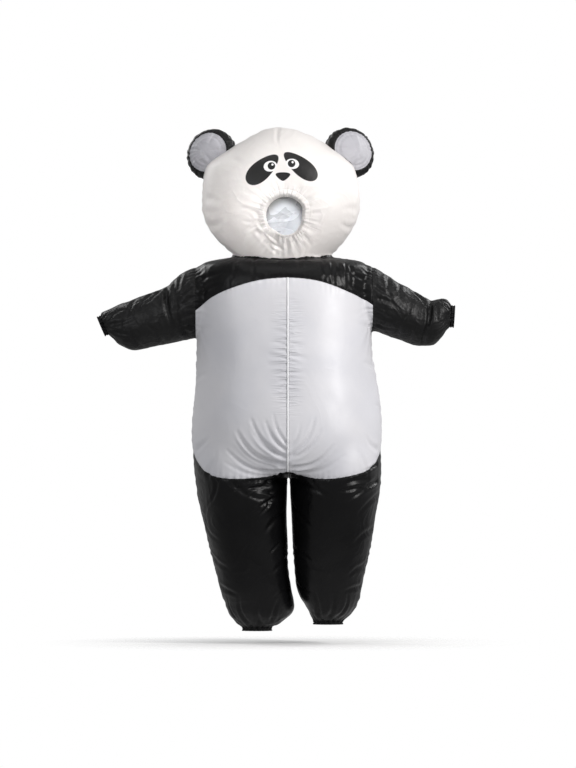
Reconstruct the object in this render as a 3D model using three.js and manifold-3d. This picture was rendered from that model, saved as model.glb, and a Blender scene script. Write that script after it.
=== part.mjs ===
// Inflatable panda costume, filled out with air and empty of a wearer.
// Millimetres, +Z up. The wearer would face -Y, with their left hand at +X.
// The origin is at shoulder height on the centre line, where the costume is held up.
//
// The cloth is one thin skin around joined air-filled forms: head, trunk, two sleeves,
// two legs and two ears. Each form is lofted through the rings in a table below, its folds
// and gathers are raised in its points, and the skin is then cut into panels at the seams.

import * as THREE from 'three';
import { mergeVertices } from 'three/addons/utils/BufferGeometryUtils.js';
import Module from 'manifold-3d';

const wasm = await Module();
wasm.setup();

// Farther than any point of the costume
const REACH = 2000;

// Cloth and seams
const CLOTH = 2.4;
const SEAM_GAP = 0.3;
const SLOPED_SEAM_GAP = 0.6;
const MOUTH_LENGTH = 8;
const FILM = 1.2;

// Seam places
const SIDE_SEAM_Y = 2;
const RIGHT_ARMHOLE_X = -342;
const LEFT_ARMHOLE_X = 320.5;
const RIGHT_ARMHOLE_BOTTOM_Z = -350;
const LEFT_ARMHOLE_BOTTOM_Z = -305;
const SEAM_STEPS = 13;
const ZIP_X = 3;
const ZIP_WIDTH = 9;

// Around each form
const TRUNK_COLUMNS = 24;
const HEAD_COLUMNS = 20;
const LEG_COLUMNS = 18;
const SLEEVE_COLUMNS = 16;
const EAR_COLUMNS = 14;

// Horizontal rings: how far each reaches left and right of X = 0, and to the front and back.
const HEAD_ROWS = [
  { z: 519, left: -56, right: -11, front: 26, back: 26 },
  { z: 509, left: -92, right: 35, front: 84, back: 78 },
  { z: 482, left: -143, right: 99, front: 142, back: 134 },
  { z: 446, left: -203, right: 158, front: 184, back: 173 },
  { z: 400, left: -272, right: 224, front: 219, back: 205 },
  { z: 368, left: -303, right: 254, front: 235, back: 220 },
  { z: 316, left: -313, right: 266, front: 248, back: 232 },
  { z: 260, left: -316, right: 273, front: 252, back: 238 },
  { z: 210, left: -316, right: 271, front: 247, back: 235 },
  { z: 165, left: -303, right: 258, front: 236, back: 226 },
  { z: 120, left: -278, right: 234, front: 218, back: 210 },
  { z: 79, left: -244, right: 202, front: 196, back: 192 },
  { z: 30, left: -188, right: 154, front: 164, back: 168 },
  { z: -8, left: -154, right: 120, front: 142, back: 150 },
];
const TRUNK_ROWS = [
  { z: 33, left: -184, right: 158, front: 132, back: 130 },
  { z: 22, left: -268, right: 249, front: 170, back: 166 },
  { z: 4, left: -322, right: 297, front: 199, back: 194 },
  { z: -30, left: -338, right: 314, front: 224, back: 216 },
  { z: -90, left: -340, right: 318, front: 243, back: 231 },
  { z: -180, left: -340, right: 318, front: 259, back: 241 },
  { z: -340, left: -338, right: 322, front: 284, back: 253 },
  { z: -500, left: -351, right: 344, front: 308, back: 266 },
  { z: -610, left: -362, right: 356, front: 320, back: 278 },
  { z: -672, left: -360, right: 355, front: 318, back: 281 },
  { z: -712, left: -352, right: 349, front: 308, back: 276 },
  { z: -748, left: -332, right: 331, front: 287, back: 261 },
  { z: -776, left: -292, right: 290, front: 250, back: 234 },
  { z: -791, left: -224, right: 222, front: 186, back: 178 },
];
const RIGHT_LEG_ROWS = [
  { z: -638, left: -332, right: -30, front: 230, back: 208 },
  { z: -709, left: -352, right: -4, front: 270, back: 244 },
  { z: -829, left: -341, right: 0, front: 266, back: 240 },
  { z: -930, left: -322, right: -2, front: 244, back: 224 },
  { z: -1028, left: -300, right: 4, front: 222, back: 206 },
  { z: -1121, left: -276, right: 9, front: 198, back: 186 },
  { z: -1215, left: -251, right: 19, front: 170, back: 162 },
  { z: -1264, left: -232, right: 26, front: 148, back: 142 },
  { z: -1294, left: -222, right: 22, front: 132, back: 127 },
  { z: -1318, left: -208, right: -2, front: 106, back: 104 },
  { z: -1337, left: -189, right: -29, front: 80, back: 78 },
  { z: -1354, left: -166, right: -58, front: 54, back: 54 },
];
const LEFT_LEG_ROWS = [
  { z: -638, left: 34, right: 330, front: 230, back: 208 },
  { z: -709, left: 15, right: 351, front: 270, back: 244 },
  { z: -829, left: 13, right: 348, front: 266, back: 240 },
  { z: -930, left: 17, right: 336, front: 242, back: 224 },
  { z: -1028, left: 21, right: 322, front: 220, back: 206 },
  { z: -1121, left: 22, right: 301, front: 194, back: 186 },
  { z: -1196, left: 31, right: 283, front: 168, back: 160 },
  { z: -1241, left: 50, right: 270, front: 146, back: 141 },
  { z: -1271, left: 70, right: 258, front: 126, back: 122 },
  { z: -1295, left: 84, right: 244, front: 104, back: 101 },
  { z: -1314, left: 93, right: 225, front: 78, back: 76 },
  { z: -1330, left: 100, right: 208, front: 54, back: 54 },
];

// Leaning rings of the sleeves: their top and lowest points, and half their depth.
const RIGHT_SLEEVE_ROWS = [
  { topX: -244, topZ: 11, lowX: -244, lowZ: -248, deep: 118 },
  { topX: -308, topZ: 6, lowX: -304, lowZ: -262, deep: 124 },
  { topX: -386, topZ: -24, lowX: -379, lowZ: -279, deep: 122 },
  { topX: -450, topZ: -78, lowX: -431, lowZ: -291, deep: 108 },
  { topX: -540, topZ: -111, lowX: -518, lowZ: -309, deep: 104 },
  { topX: -600, topZ: -134, lowX: -570, lowZ: -318, deep: 96 },
  { topX: -649, topZ: -154, lowX: -604, lowZ: -311, deep: 82 },
  { topX: -679, topZ: -166, lowX: -634, lowZ: -292, deep: 66 },
  { topX: -694, topZ: -175, lowX: -654, lowZ: -272, deep: 50 },
  { topX: -700, topZ: -188, lowX: -671, lowZ: -256, deep: 37 },
];
const LEFT_SLEEVE_ROWS = [
  { topX: 221, topZ: 22, lowX: 221, lowZ: -225, deep: 114 },
  { topX: 319, topZ: -1, lowX: 326, lowZ: -246, deep: 122 },
  { topX: 364, topZ: -27, lowX: 360, lowZ: -257, deep: 118 },
  { topX: 480, topZ: -95, lowX: 450, lowZ: -285, deep: 100 },
  { topX: 525, topZ: -120, lowX: 488, lowZ: -294, deep: 92 },
  { topX: 541, topZ: -130, lowX: 514, lowZ: -295, deep: 86 },
  { topX: 560, topZ: -123, lowX: 544, lowZ: -295, deep: 86 },
  { topX: 585, topZ: -120, lowX: 572, lowZ: -276, deep: 78 },
  { topX: 602, topZ: -125, lowX: 591, lowZ: -253, deep: 62 },
  { topX: 611, topZ: -136, lowX: 603, lowZ: -238, deep: 48 },
  { topX: 617, topZ: -150, lowX: 612, lowZ: -228, deep: 38 },
];

// Ear rings along its own axis, from the back to the front of its face.
const EAR_ROWS = [
  { along: -52, radius: 34 },
  { along: -40, radius: 72 },
  { along: -14, radius: 95 },
  { along: 14, radius: 95 },
  { along: 33, radius: 83 },
  { along: 42, radius: 71 },
  { along: 48, radius: 34 },
];
const EAR_FACE_FROM = 40;
const EAR_BLOCK = 400;
const EARS = [
  { side: 'right', x: -281, y: 22, z: 417, yaw: -25, tilt: 14 },
  { side: 'left', x: 232, y: 22, z: 423, yaw: 25, tilt: 14 },
];

// Seams drawn from the front and carried straight through to the back.
const YOKE_EDGE = [
  { x: -420, z: -228 },
  { x: -338, z: -165 },
  { x: -278, z: -118 },
  { x: -210, z: -86 },
  { x: -109, z: -56 },
  { x: 4, z: -45 },
  { x: 124, z: -58 },
  { x: 232, z: -98 },
  { x: 281, z: -122 },
  { x: 322, z: -150 },
  { x: 410, z: -214 },
];
const BELLY_EDGE = [
  { x: -439, z: -638 },
  { x: -371, z: -675 },
  { x: -354, z: -694 },
  { x: -338, z: -735 },
  { x: -313, z: -765 },
  { x: -274, z: -786 },
  { x: -221, z: -795 },
  { x: -158, z: -795 },
  { x: -94, z: -791 },
  { x: -38, z: -782 },
  { x: 4, z: -771 },
  { x: 49, z: -784 },
  { x: 109, z: -795 },
  { x: 161, z: -795 },
  { x: 202, z: -791 },
  { x: 262, z: -778 },
  { x: 308, z: -761 },
  { x: 334, z: -731 },
  { x: 349, z: -694 },
  { x: 364, z: -675 },
  { x: 424, z: -638 },
];

// The inside-leg seam and the gap between the legs, down from the crotch.
const CROTCH_LINE = [
  { x: 6, z: -600 },
  { x: 6, z: -829 },
  { x: 12, z: -1028 },
  { x: 16, z: -1121 },
  { x: 24, z: -1196 },
  { x: 46, z: -1264 },
  { x: 46, z: -1500 },
];

// Face window: the distance from its centre to the edge of the opening, round the clock.
const WINDOW_X = -9;
const WINDOW_Z = 184;
const WINDOW_EDGE = [
  { angle: 0, radius: 72 },
  { angle: 30, radius: 81 },
  { angle: 60, radius: 79 },
  { angle: 90, radius: 78 },
  { angle: 120, radius: 77 },
  { angle: 150, radius: 77 },
  { angle: 180, radius: 76 },
  { angle: 210, radius: 76 },
  { angle: 240, radius: 72 },
  { angle: 270, radius: 79 },
  { angle: 300, radius: 79 },
  { angle: 330, radius: 74 },
];
const RIM_WIDTH = 20;
const RIM_LIP = 4;
const RIM_DEPTH = 26;
const RIM_RISE = 7;
const RIM_GATHERS = 24;
const RIM_SAMPLES = 48;
const RIM_WAVE = 2.6;
const WINDOW_DIMPLE = 12;
const WINDOW_DIMPLE_REACH = 60;
const RIM_SEAT = 11;
const FILM_BULGE = 9;
const FILM_CLEARANCE = 1;

// Gathers and puckers
const WRIST_GATHERS = 16;
const ANKLE_GATHERS = 18;
const CUFF_WAVE = 2.2;
const CUFF_FADE = 26;
const GATHER_REACH = 6;
const GATHER_EDGE = 10;
const CUFF_LENGTH = 14;
const PUCKER_TOP_Z = -180;
const PUCKER_LOW_Z = -480;
const PUCKER_PITCH = 20;
const PUCKER_HEIGHT = 2.6;
const PUCKER_REACH = 34;

// Largest folds: a soft trough (below 0) or ridge from one place to the other, in front view.
// side is -1 for the front, 1 for the back and 0 for all round.
const FOLDS = [
  { on: 'head', side: -1, x1: -104, z1: 172, x2: -14, z2: 56, width: 12, height: -7 },
  { on: 'head', side: -1, x1: -92, z1: 136, x2: -20, z2: 78, width: 11, height: 6 },
  { on: 'head', side: -1, x1: -32, z1: 519, x2: -27, z2: 424, width: 11, height: -4 },
  { on: 'trunk', side: -1, x1: -10, z1: -740, x2: -176, z2: -560, width: 16, height: -8 },
  { on: 'trunk', side: -1, x1: -20, z1: -752, x2: -206, z2: -652, width: 15, height: -6 },
  { on: 'trunk', side: -1, x1: -14, z1: -700, x2: -95, z2: -590, width: 14, height: -6 },
  { on: 'trunk', side: -1, x1: 20, z1: -745, x2: 160, z2: -580, width: 16, height: -5 },
  { on: 'trunk', side: 1, x1: 0, z1: -745, x2: -150, z2: -600, width: 18, height: -6 },
  { on: 'trunk', side: 1, x1: 10, z1: -745, x2: 170, z2: -610, width: 18, height: -6 },
  { on: 'rightSleeve', side: 0, x1: -446, z1: -70, x2: -424, z2: -200, width: 15, height: -11 },
  { on: 'rightSleeve', side: 0, x1: -398, z1: -40, x2: -404, z2: -170, width: 15, height: -7 },
  { on: 'leftSleeve', side: 0, x1: 538, z1: -126, x2: 520, z2: -220, width: 15, height: -12 },
  { on: 'leftSleeve', side: 0, x1: 470, z1: -92, x2: 530, z2: -190, width: 15, height: -7 },
  { on: 'rightLeg', side: -1, x1: -210, z1: -822, x2: -60, z2: -870, width: 17, height: -6 },
  { on: 'leftLeg', side: -1, x1: 330, z1: -800, x2: 210, z2: -880, width: 17, height: -6 },
];

const WHITE = { color: 0xf1f0f2, roughness: 0.5, metalness: 0 };
const HEAD_WHITE = { color: 0xf3f0ee, roughness: 0.55, metalness: 0 };
const BLACK = { color: 0x161616, roughness: 0.42, metalness: 0 };
const GREY = { color: 0xb9b9c4, roughness: 0.5, metalness: 0 };
const CLEAR = { color: 0xe4ebf2, roughness: 0.2, metalness: 0 };

const radians = THREE.MathUtils.degToRad;

// One ring in a plane at height z, round in each quarter.
function levelRing(row, columns) {
  const middle = (row.left + row.right) / 2;
  const halfWidth = (row.right - row.left) / 2;
  const ring = [];
  for (let i = 0; i < columns; i += 1) {
    const angle = (2 * Math.PI * (i + 0.5)) / columns;
    const depth = Math.sin(angle) > 0 ? row.back : row.front;
    ring.push(new THREE.Vector3(
      middle + halfWidth * softened(Math.cos(angle)),
      depth * softened(Math.sin(angle)),
      row.z,
    ));
  }
  return ring;
}

// One ring that leans with its sleeve.
function leaningRing(row, columns) {
  const top = new THREE.Vector3(row.topX, 0, row.topZ);
  const low = new THREE.Vector3(row.lowX, 0, row.lowZ);
  const ring = [];
  for (let i = 0; i < columns; i += 1) {
    const angle = (2 * Math.PI * i) / columns;
    const point = low.clone().lerp(top, 0.5 + 0.5 * Math.sin(angle));
    point.y = row.deep * Math.cos(angle);
    ring.push(point);
  }
  return ring;
}

// A circle a little fuller at its corners, as blown-up cloth is.
function softened(value) {
  return Math.sign(value) * Math.abs(value) ** 0.9;
}

// A closed surface through the rings. Each face remembers if it is side, first end or last end.
function loft(rings) {
  const columns = rings[0].length;
  const points = rings.flat();
  const faces = [];
  for (let r = 0; r + 1 < rings.length; r += 1) {
    for (let i = 0; i < columns; i += 1) {
      const next = (i + 1) % columns;
      const a = r * columns + i;
      const b = r * columns + next;
      const c = a + columns;
      const d = b + columns;
      faces.push({ corners: [a, b, d], end: 0 }, { corners: [a, d, c], end: 0 });
    }
  }
  const firstMiddle = points.push(centreOf(rings[0])) - 1;
  const lastMiddle = points.push(centreOf(rings[rings.length - 1])) - 1;
  const lastStart = (rings.length - 1) * columns;
  for (let i = 0; i < columns; i += 1) {
    const next = (i + 1) % columns;
    faces.push({ corners: [next, i, firstMiddle], end: 1 });
    faces.push({ corners: [lastStart + i, lastStart + next, lastMiddle], end: 2 });
  }
  return faceOutward({ points, faces });
}

function centreOf(ring) {
  const sum = ring.reduce((total, point) => total.add(point), new THREE.Vector3());
  return sum.divideScalar(ring.length);
}

function faceOutward(surface) {
  let volume = 0;
  for (const face of surface.faces) {
    const [a, b, c] = face.corners.map((i) => surface.points[i]);
    volume += a.dot(b.clone().cross(c));
  }
  if (volume < 0) {
    for (const face of surface.faces) {
      face.corners.reverse();
    }
  }
  return surface;
}

// Splits each edge that is too long for the folds there, and the faces beside it.
function refine(surface, tooLong, rounds) {
  let { faces } = surface;
  const points = surface.points.slice();
  for (let round = 0; round < rounds; round += 1) {
    const middles = new Map();
    const middleOf = (i, j) => {
      const key = i < j ? `${i} ${j}` : `${j} ${i}`;
      if (!middles.has(key)) {
        const split = tooLong(points[i], points[j]);
        const middle = points[i].clone().add(points[j]).multiplyScalar(0.5);
        middles.set(key, split ? points.push(middle) - 1 : -1);
      }
      return middles.get(key);
    };
    const finer = [];
    for (const face of faces) {
      const [a, b, c] = face.corners;
      const mids = [middleOf(a, b), middleOf(b, c), middleOf(c, a)];
      for (const corners of splitFace([a, b, c], mids)) {
        finer.push({ corners, end: face.end });
      }
    }
    faces = finer;
  }
  return { points, faces };
}

// Splits a face at those of its edges that have a middle point, turning it until they come first.
function splitFace([a, b, c], [ab, bc, ca]) {
  const count = [ab, bc, ca].filter((i) => i >= 0).length;
  if (count === 0) {
    return [[a, b, c]];
  }
  if (count === 3) {
    return [[a, ab, ca], [ab, b, bc], [ca, bc, c], [ab, bc, ca]];
  }
  const comeFirst = count === 1 ? ab >= 0 : ab >= 0 && bc >= 0;
  if (!comeFirst) {
    return splitFace([b, c, a], [bc, ca, ab]);
  }
  if (count === 1) {
    return [[a, ab, c], [ab, b, c]];
  }
  return [[a, ab, c], [ab, bc, c], [ab, b, bc]];
}

// The outward direction of the cloth at each point, and which end it closes, if any.
function directions(surface) {
  const side = surface.points.map(() => new THREE.Vector3());
  const end = surface.points.map(() => new THREE.Vector3());
  const ends = surface.points.map(() => 0);
  for (const face of surface.faces) {
    const [a, b, c] = face.corners.map((i) => surface.points[i]);
    const normal = b.clone().sub(a).cross(c.clone().sub(a));
    for (const i of face.corners) {
      (face.end === 0 ? side : end)[i].add(normal);
      ends[i] = Math.max(ends[i], face.end);
    }
  }
  for (const normal of [...side, ...end]) {
    if (normal.lengthSq() > 0) {
      normal.normalize();
    }
  }
  return { side, end, ends };
}

// Moves every point out by a distance worked out from its place and direction.
function raise(surface, height) {
  const { side } = directions(surface);
  const points = surface.points.map((point, i) => {
    const out = height(point, side[i]);
    return point.clone().addScaledVector(side[i], out);
  });
  return { points, faces: surface.faces };
}

// The same surface moved out by one distance, with its two ends moved by their own.
function moved(surface, out, firstEnd, lastEnd) {
  const { side, end, ends } = directions(surface);
  const points = surface.points.map((point, i) => {
    const along = ends[i] === 1 ? firstEnd : lastEnd;
    const shifted = point.clone().addScaledVector(side[i], out);
    return shifted.addScaledVector(end[i], ends[i] === 0 ? 0 : along);
  });
  return { points, faces: surface.faces };
}

function solidOf(surface) {
  const vertProperties = new Float32Array(surface.points.flatMap((point) => point.toArray()));
  const triVerts = new Uint32Array(surface.faces.flatMap((face) => face.corners));
  return new wasm.Manifold(new wasm.Mesh({ numProp: 3, vertProperties, triVerts }));
}

function solidFromGeometry(geometry) {
  const plain = geometry.clone();
  plain.deleteAttribute('normal');
  plain.deleteAttribute('uv');
  const merged = mergeVertices(plain);
  const vertProperties = new Float32Array(merged.attributes.position.array);
  const triVerts = new Uint32Array(merged.index.array);
  return new wasm.Manifold(new wasm.Mesh({ numProp: 3, vertProperties, triVerts }));
}

function geometryFromSolid(solid) {
  const mesh = solid.getMesh();
  const geometry = new THREE.BufferGeometry();
  geometry.setAttribute('position', new THREE.BufferAttribute(mesh.vertProperties, 3));
  geometry.setIndex(new THREE.BufferAttribute(mesh.triVerts, 1));
  geometry.computeVertexNormals();
  return geometry;
}

// Soft trough or ridge along a line in front view.
function foldHeight(fold, point, normal) {
  if (fold.side !== 0 && fold.side * normal.y < 0.05) {
    return 0;
  }
  const distance = distanceToFold(fold, point);
  return fold.height * Math.exp(-((distance / fold.width) ** 2));
}

function distanceToFold(fold, point) {
  const alongX = fold.x2 - fold.x1;
  const alongZ = fold.z2 - fold.z1;
  const reach = (point.x - fold.x1) * alongX + (point.z - fold.z1) * alongZ;
  const place = THREE.MathUtils.clamp(reach / (alongX ** 2 + alongZ ** 2), 0, 1);
  return Math.hypot(
    point.x - fold.x1 - place * alongX,
    point.z - fold.z1 - place * alongZ,
  );
}

function crossesFold(folds, a, b) {
  const middle = a.clone().add(b).multiplyScalar(0.5);
  return folds.some((fold) => {
    const rightSide = fold.side === 0 || fold.side * middle.y > 0;
    const close = distanceToFold(fold, middle) < fold.width * 1.3;
    return rightSide && close && a.distanceTo(b) > fold.width * 2.5;
  });
}

// Window edge at an angle, in degrees, between the rows of its table.
function windowRadius(angle) {
  const step = 360 / WINDOW_EDGE.length;
  const turn = ((angle % 360) + 360) % 360;
  const index = Math.floor(turn / step);
  const here = WINDOW_EDGE[index].radius;
  const next = WINDOW_EDGE[(index + 1) % WINDOW_EDGE.length].radius;
  return THREE.MathUtils.lerp(here, next, THREE.MathUtils.smoothstep(turn / step - index, 0, 1));
}

function fromWindow(point) {
  const angle = THREE.MathUtils.radToDeg(Math.atan2(point.z - WINDOW_Z, point.x - WINDOW_X));
  const distance = Math.hypot(point.x - WINDOW_X, point.z - WINDOW_Z);
  return { angle, beyond: distance - windowRadius(angle) };
}

// The head's cloth is drawn in towards the window.
function windowHeight(point) {
  const { beyond } = fromWindow(point);
  return -WINDOW_DIMPLE * Math.exp(-((Math.max(beyond, 0) / WINDOW_DIMPLE_REACH) ** 2));
}

// Short sideways puckers on both edges of the front closure, half a pitch apart.
function puckerHeight(point) {
  if (point.z > PUCKER_TOP_Z || point.z < PUCKER_LOW_Z) {
    return 0;
  }
  const side = point.x > ZIP_X ? 0.5 : 0;
  const wave = Math.cos(2 * Math.PI * (point.z / PUCKER_PITCH + side));
  const reach = (point.x - ZIP_X) / PUCKER_REACH;
  return PUCKER_HEIGHT * wave * besideZip(point) * Math.exp(-(reach ** 2));
}

// 0 on the zip, which stays flat, and 1 a little way off it.
function besideZip(point) {
  return THREE.MathUtils.smoothstep(Math.abs(point.x - ZIP_X), ZIP_WIDTH * 0.6, ZIP_WIDTH * 1.6);
}

// Waves drawn in by elastic at the open end of a sleeve or leg.
function mouthOf(rings) {
  const ring = rings[rings.length - 1];
  const middle = centreOf(ring);
  const across = ring[0].clone().sub(middle).normalize();
  const axis = across.clone().cross(ring[Math.floor(ring.length / 4)].clone().sub(middle));
  axis.normalize();
  const inward = centreOf(rings[rings.length - 2]).sub(middle);
  if (axis.dot(inward) > 0) {
    axis.negate();
  }
  return {
    middle,
    across,
    axis,
    other: axis.clone().cross(across),
    halfAcross: ring[0].distanceTo(middle),
    halfOther: ring[Math.floor(ring.length / 4)].distanceTo(middle),
  };
}

function gatherHeight(mouth, gathers, point) {
  const away = point.clone().sub(mouth.middle);
  const angle = Math.atan2(away.dot(mouth.other), away.dot(mouth.across));
  const depth = Math.max(-away.dot(mouth.axis), 0);
  return CUFF_WAVE * Math.exp(-depth / CUFF_FADE) * Math.cos(gathers * angle);
}

function nearMouth(mouth, a, b) {
  const middle = a.clone().add(b).multiplyScalar(0.5).sub(mouth.middle);
  const depth = -middle.dot(mouth.axis);
  const along = Math.abs(b.clone().sub(a).normalize().dot(middle.normalize()));
  return depth < GATHER_REACH && along < 0.5 && a.distanceTo(b) > GATHER_EDGE;
}

// Each form: its outer surface with folds, the same grown by the seam gap, and its air space.
function formOf(surface, firstEnd, lastEnd) {
  return {
    outer: solidOf(surface),
    grown: solidOf(moved(surface, SEAM_GAP, SEAM_GAP, SEAM_GAP)),
    air: solidOf(moved(surface, -CLOTH, firstEnd, lastEnd)),
  };
}

function foldsOn(name) {
  return FOLDS.filter((fold) => fold.on === name);
}

function foldsHeight(folds, point, normal) {
  return folds.reduce((sum, fold) => sum + foldHeight(fold, point, normal), 0);
}

function makeHead() {
  const folds = foldsOn('head');
  const tooLong = (a, b) => {
    const { beyond } = fromWindow(a.clone().add(b).multiplyScalar(0.5));
    const atWindow = a.y < 0 && Math.abs(beyond - RIM_WIDTH) < WINDOW_DIMPLE_REACH / 2;
    return (atWindow && a.distanceTo(b) > WINDOW_DIMPLE_REACH) || crossesFold(folds, a, b);
  };
  const base = loft(HEAD_ROWS.map((row) => levelRing(row, HEAD_COLUMNS)));
  const fine = refine(base, tooLong, 4);
  const shaped = raise(fine, (point, normal) => {
    const window = normal.y < 0 ? windowHeight(point) : 0;
    return window + foldsHeight(folds, point, normal);
  });
  return formOf(shaped, -CLOTH, -CLOTH);
}

function makeTrunk() {
  const folds = foldsOn('trunk');
  const tooLong = (a, b) => {
    const middle = a.clone().add(b).multiplyScalar(0.5);
    const inPuckers = middle.z < PUCKER_TOP_Z && middle.z > PUCKER_LOW_Z
      && middle.y < 0 && Math.abs(middle.x - ZIP_X) < PUCKER_REACH;
    const tall = Math.abs(a.z - b.z) > PUCKER_PITCH * 0.6;
    const wide = Math.abs(a.x - b.x) > PUCKER_PITCH;
    return (inPuckers && (tall || wide)) || crossesFold(folds, a, b);
  };
  const base = loft(TRUNK_ROWS.map((row) => levelRing(row, TRUNK_COLUMNS)));
  const fine = refine(base, tooLong, 4);
  const shaped = raise(fine, (point, normal) => {
    const puckers = normal.y < 0 ? puckerHeight(point) : 0;
    return puckers + besideZip(point) * foldsHeight(folds, point, normal);
  });
  return { ...formOf(shaped, -CLOTH, -CLOTH), plain: formOf(base, -CLOTH, -CLOTH) };
}

function makeLimb(name, rings, gathers) {
  const folds = foldsOn(name);
  const mouth = mouthOf(rings);
  const tooLong = (a, b) => nearMouth(mouth, a, b) || crossesFold(folds, a, b);
  const fine = refine(loft(rings), tooLong, 2);
  const shaped = raise(fine, (point, normal) => foldsHeight(folds, point, normal));
  for (const point of shaped.points) {
    const across = point.clone().sub(mouth.middle).projectOnPlane(mouth.axis).normalize();
    point.addScaledVector(across, gatherHeight(mouth, gathers, point));
  }
  const form = formOf(shaped, -CLOTH, -CLOTH);
  return { ...form, air: form.air.add(boreOf({ mouth, gathers })), mouth, gathers };
}

function turnOf(ear) {
  return new THREE.Euler(-radians(ear.tilt), 0, radians(ear.yaw), 'ZXY');
}

function makeEar(ear) {
  const turn = turnOf(ear);
  const rings = EAR_ROWS.map((row) => {
    const ring = [];
    for (let i = 0; i < EAR_COLUMNS; i += 1) {
      const angle = (2 * Math.PI * i) / EAR_COLUMNS;
      const point = new THREE.Vector3(
        row.radius * Math.cos(angle),
        -row.along,
        row.radius * Math.sin(angle),
      );
      ring.push(point.applyEuler(turn).add(new THREE.Vector3(ear.x, ear.y, ear.z)));
    }
    return ring;
  });
  return formOf(loft(rings), -CLOTH, -CLOTH);
}

// A box between two corners
function block(low, high) {
  const size = new THREE.Vector3().subVectors(high, low);
  const geometry = new THREE.BoxGeometry(size.x, size.y, size.z);
  geometry.translate((low.x + high.x) / 2, (low.y + high.y) / 2, (low.z + high.z) / 2);
  return solidFromGeometry(geometry);
}

// All that lies above a seam (or below it), carried through from front to back.
function beyondSeam(edge, direction, shift) {
  const curve = new THREE.SplineCurve(edge.map((row) => new THREE.Vector2(row.x, row.z + shift)));
  const line = curve.getPoints(SEAM_STEPS);
  const far = direction * REACH;
  const shape = new THREE.Shape([
    ...line,
    new THREE.Vector2(REACH, line[line.length - 1].y),
    new THREE.Vector2(REACH, far),
    new THREE.Vector2(-REACH, far),
    new THREE.Vector2(-REACH, line[0].y),
  ]);
  return standingThrough(shape, REACH);
}

// A front-view shape made into a solid that runs from front to back.
function standingThrough(shape, halfDepth) {
  const geometry = new THREE.ExtrudeGeometry(shape, { depth: 2 * halfDepth, bevelEnabled: false });
  geometry.rotateX(Math.PI / 2);
  geometry.translate(0, halfDepth, 0);
  return solidFromGeometry(geometry);
}

function windowShape(beyond) {
  const corners = [];
  for (let i = 0; i < RIM_SAMPLES; i += 1) {
    const angle = (360 * i) / RIM_SAMPLES;
    const radius = windowRadius(angle) + beyond;
    corners.push(new THREE.Vector2(
      WINDOW_X + radius * Math.cos(radians(angle)),
      WINDOW_Z + radius * Math.sin(radians(angle)),
    ));
  }
  return new THREE.Shape(corners);
}

// Where the head's cloth would lie at a place on its front.
function headFrontY(x, z) {
  const low = HEAD_ROWS.findIndex((row) => row.z <= z);
  const above = HEAD_ROWS[low - 1];
  const below = HEAD_ROWS[low];
  const place = (z - below.z) / (above.z - below.z);
  const left = THREE.MathUtils.lerp(below.left, above.left, place);
  const right = THREE.MathUtils.lerp(below.right, above.right, place);
  const front = THREE.MathUtils.lerp(below.front, above.front, place);
  const across = Math.abs((x - (left + right) / 2) / ((right - left) / 2));
  return -front * (1 - across ** (2 / 0.9)) ** 0.45;
}

// The gathered casing round the window: level with the head at its seam, a soft roll,
// then a lip that runs in to the film.
function makeRim() {
  const section = [
    { on: 'head', beyond: RIM_WIDTH - SEAM_GAP, out: 0, wave: 1 },
    { on: 'head', beyond: RIM_WIDTH * 0.35, out: RIM_RISE, wave: 1.3 },
    { on: 'film', beyond: -RIM_LIP, out: 0, wave: 0 },
    { on: 'film', beyond: -RIM_LIP + CLOTH, out: -CLOTH * 0.4, wave: 0 },
    { on: 'head', beyond: RIM_WIDTH * 0.45, out: RIM_RISE - CLOTH * 1.3, wave: 1.3 },
    { on: 'head', beyond: RIM_WIDTH - SEAM_GAP, out: -CLOTH, wave: 1 },
  ];
  const points = [];
  const faces = [];
  for (let i = 0; i < RIM_SAMPLES; i += 1) {
    const angle = (360 * i) / RIM_SAMPLES;
    const wave = RIM_WAVE * Math.cos(RIM_GATHERS * radians(angle));
    for (const row of section) {
      const radius = windowRadius(angle) + row.beyond;
      const x = WINDOW_X + radius * Math.cos(radians(angle));
      const z = WINDOW_Z + radius * Math.sin(radians(angle));
      const y = row.on === 'film' ? FILM_SEAT_Y : headFrontY(x, z) + RIM_SEAT;
      points.push(new THREE.Vector3(x, y - row.out - wave * row.wave, z));
    }
    for (let j = 0; j < section.length; j += 1) {
      const nextRow = ((i + 1) % RIM_SAMPLES) * section.length;
      const nextColumn = (j + 1) % section.length;
      const a = i * section.length + j;
      const b = i * section.length + nextColumn;
      const c = nextRow + j;
      const d = nextRow + nextColumn;
      faces.push({ corners: [a, b, d], end: 0 }, { corners: [a, d, c], end: 0 });
    }
  }
  return solidOf(faceOutward({ points, faces }));
}

// The clear film, slightly domed, inside the end of the rim's lip.
function makeFilm() {
  const reaches = [1, 0.55];
  const samples = RIM_SAMPLES / 2;
  const ringAt = (reach, back) => {
    const ring = [];
    for (let i = 0; i < samples; i += 1) {
      const angle = (360 * i) / samples;
      const radius = (windowRadius(angle) - RIM_LIP - FILM_CLEARANCE) * reach;
      ring.push(new THREE.Vector3(
        WINDOW_X + radius * Math.cos(radians(angle)),
        FILM_SEAT_Y - FILM_BULGE * (1 - reach ** 2) + back,
        WINDOW_Z + radius * Math.sin(radians(angle)),
      ));
    }
    return ring;
  };
  const front = reaches.map((reach) => ringAt(reach, 0)).reverse();
  const back = reaches.map((reach) => ringAt(reach, FILM));
  return solidOf(loft([...front, ...back]));
}

// An elastic cuff that carries on from the mouth of a sleeve or leg.
function makeCuff(limb) {
  const outer = loft([gatheredRing(limb, SEAM_GAP, 0), gatheredRing(limb, CUFF_LENGTH, 0)]);
  return solidOf(outer).subtract(boreOf(limb));
}

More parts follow.
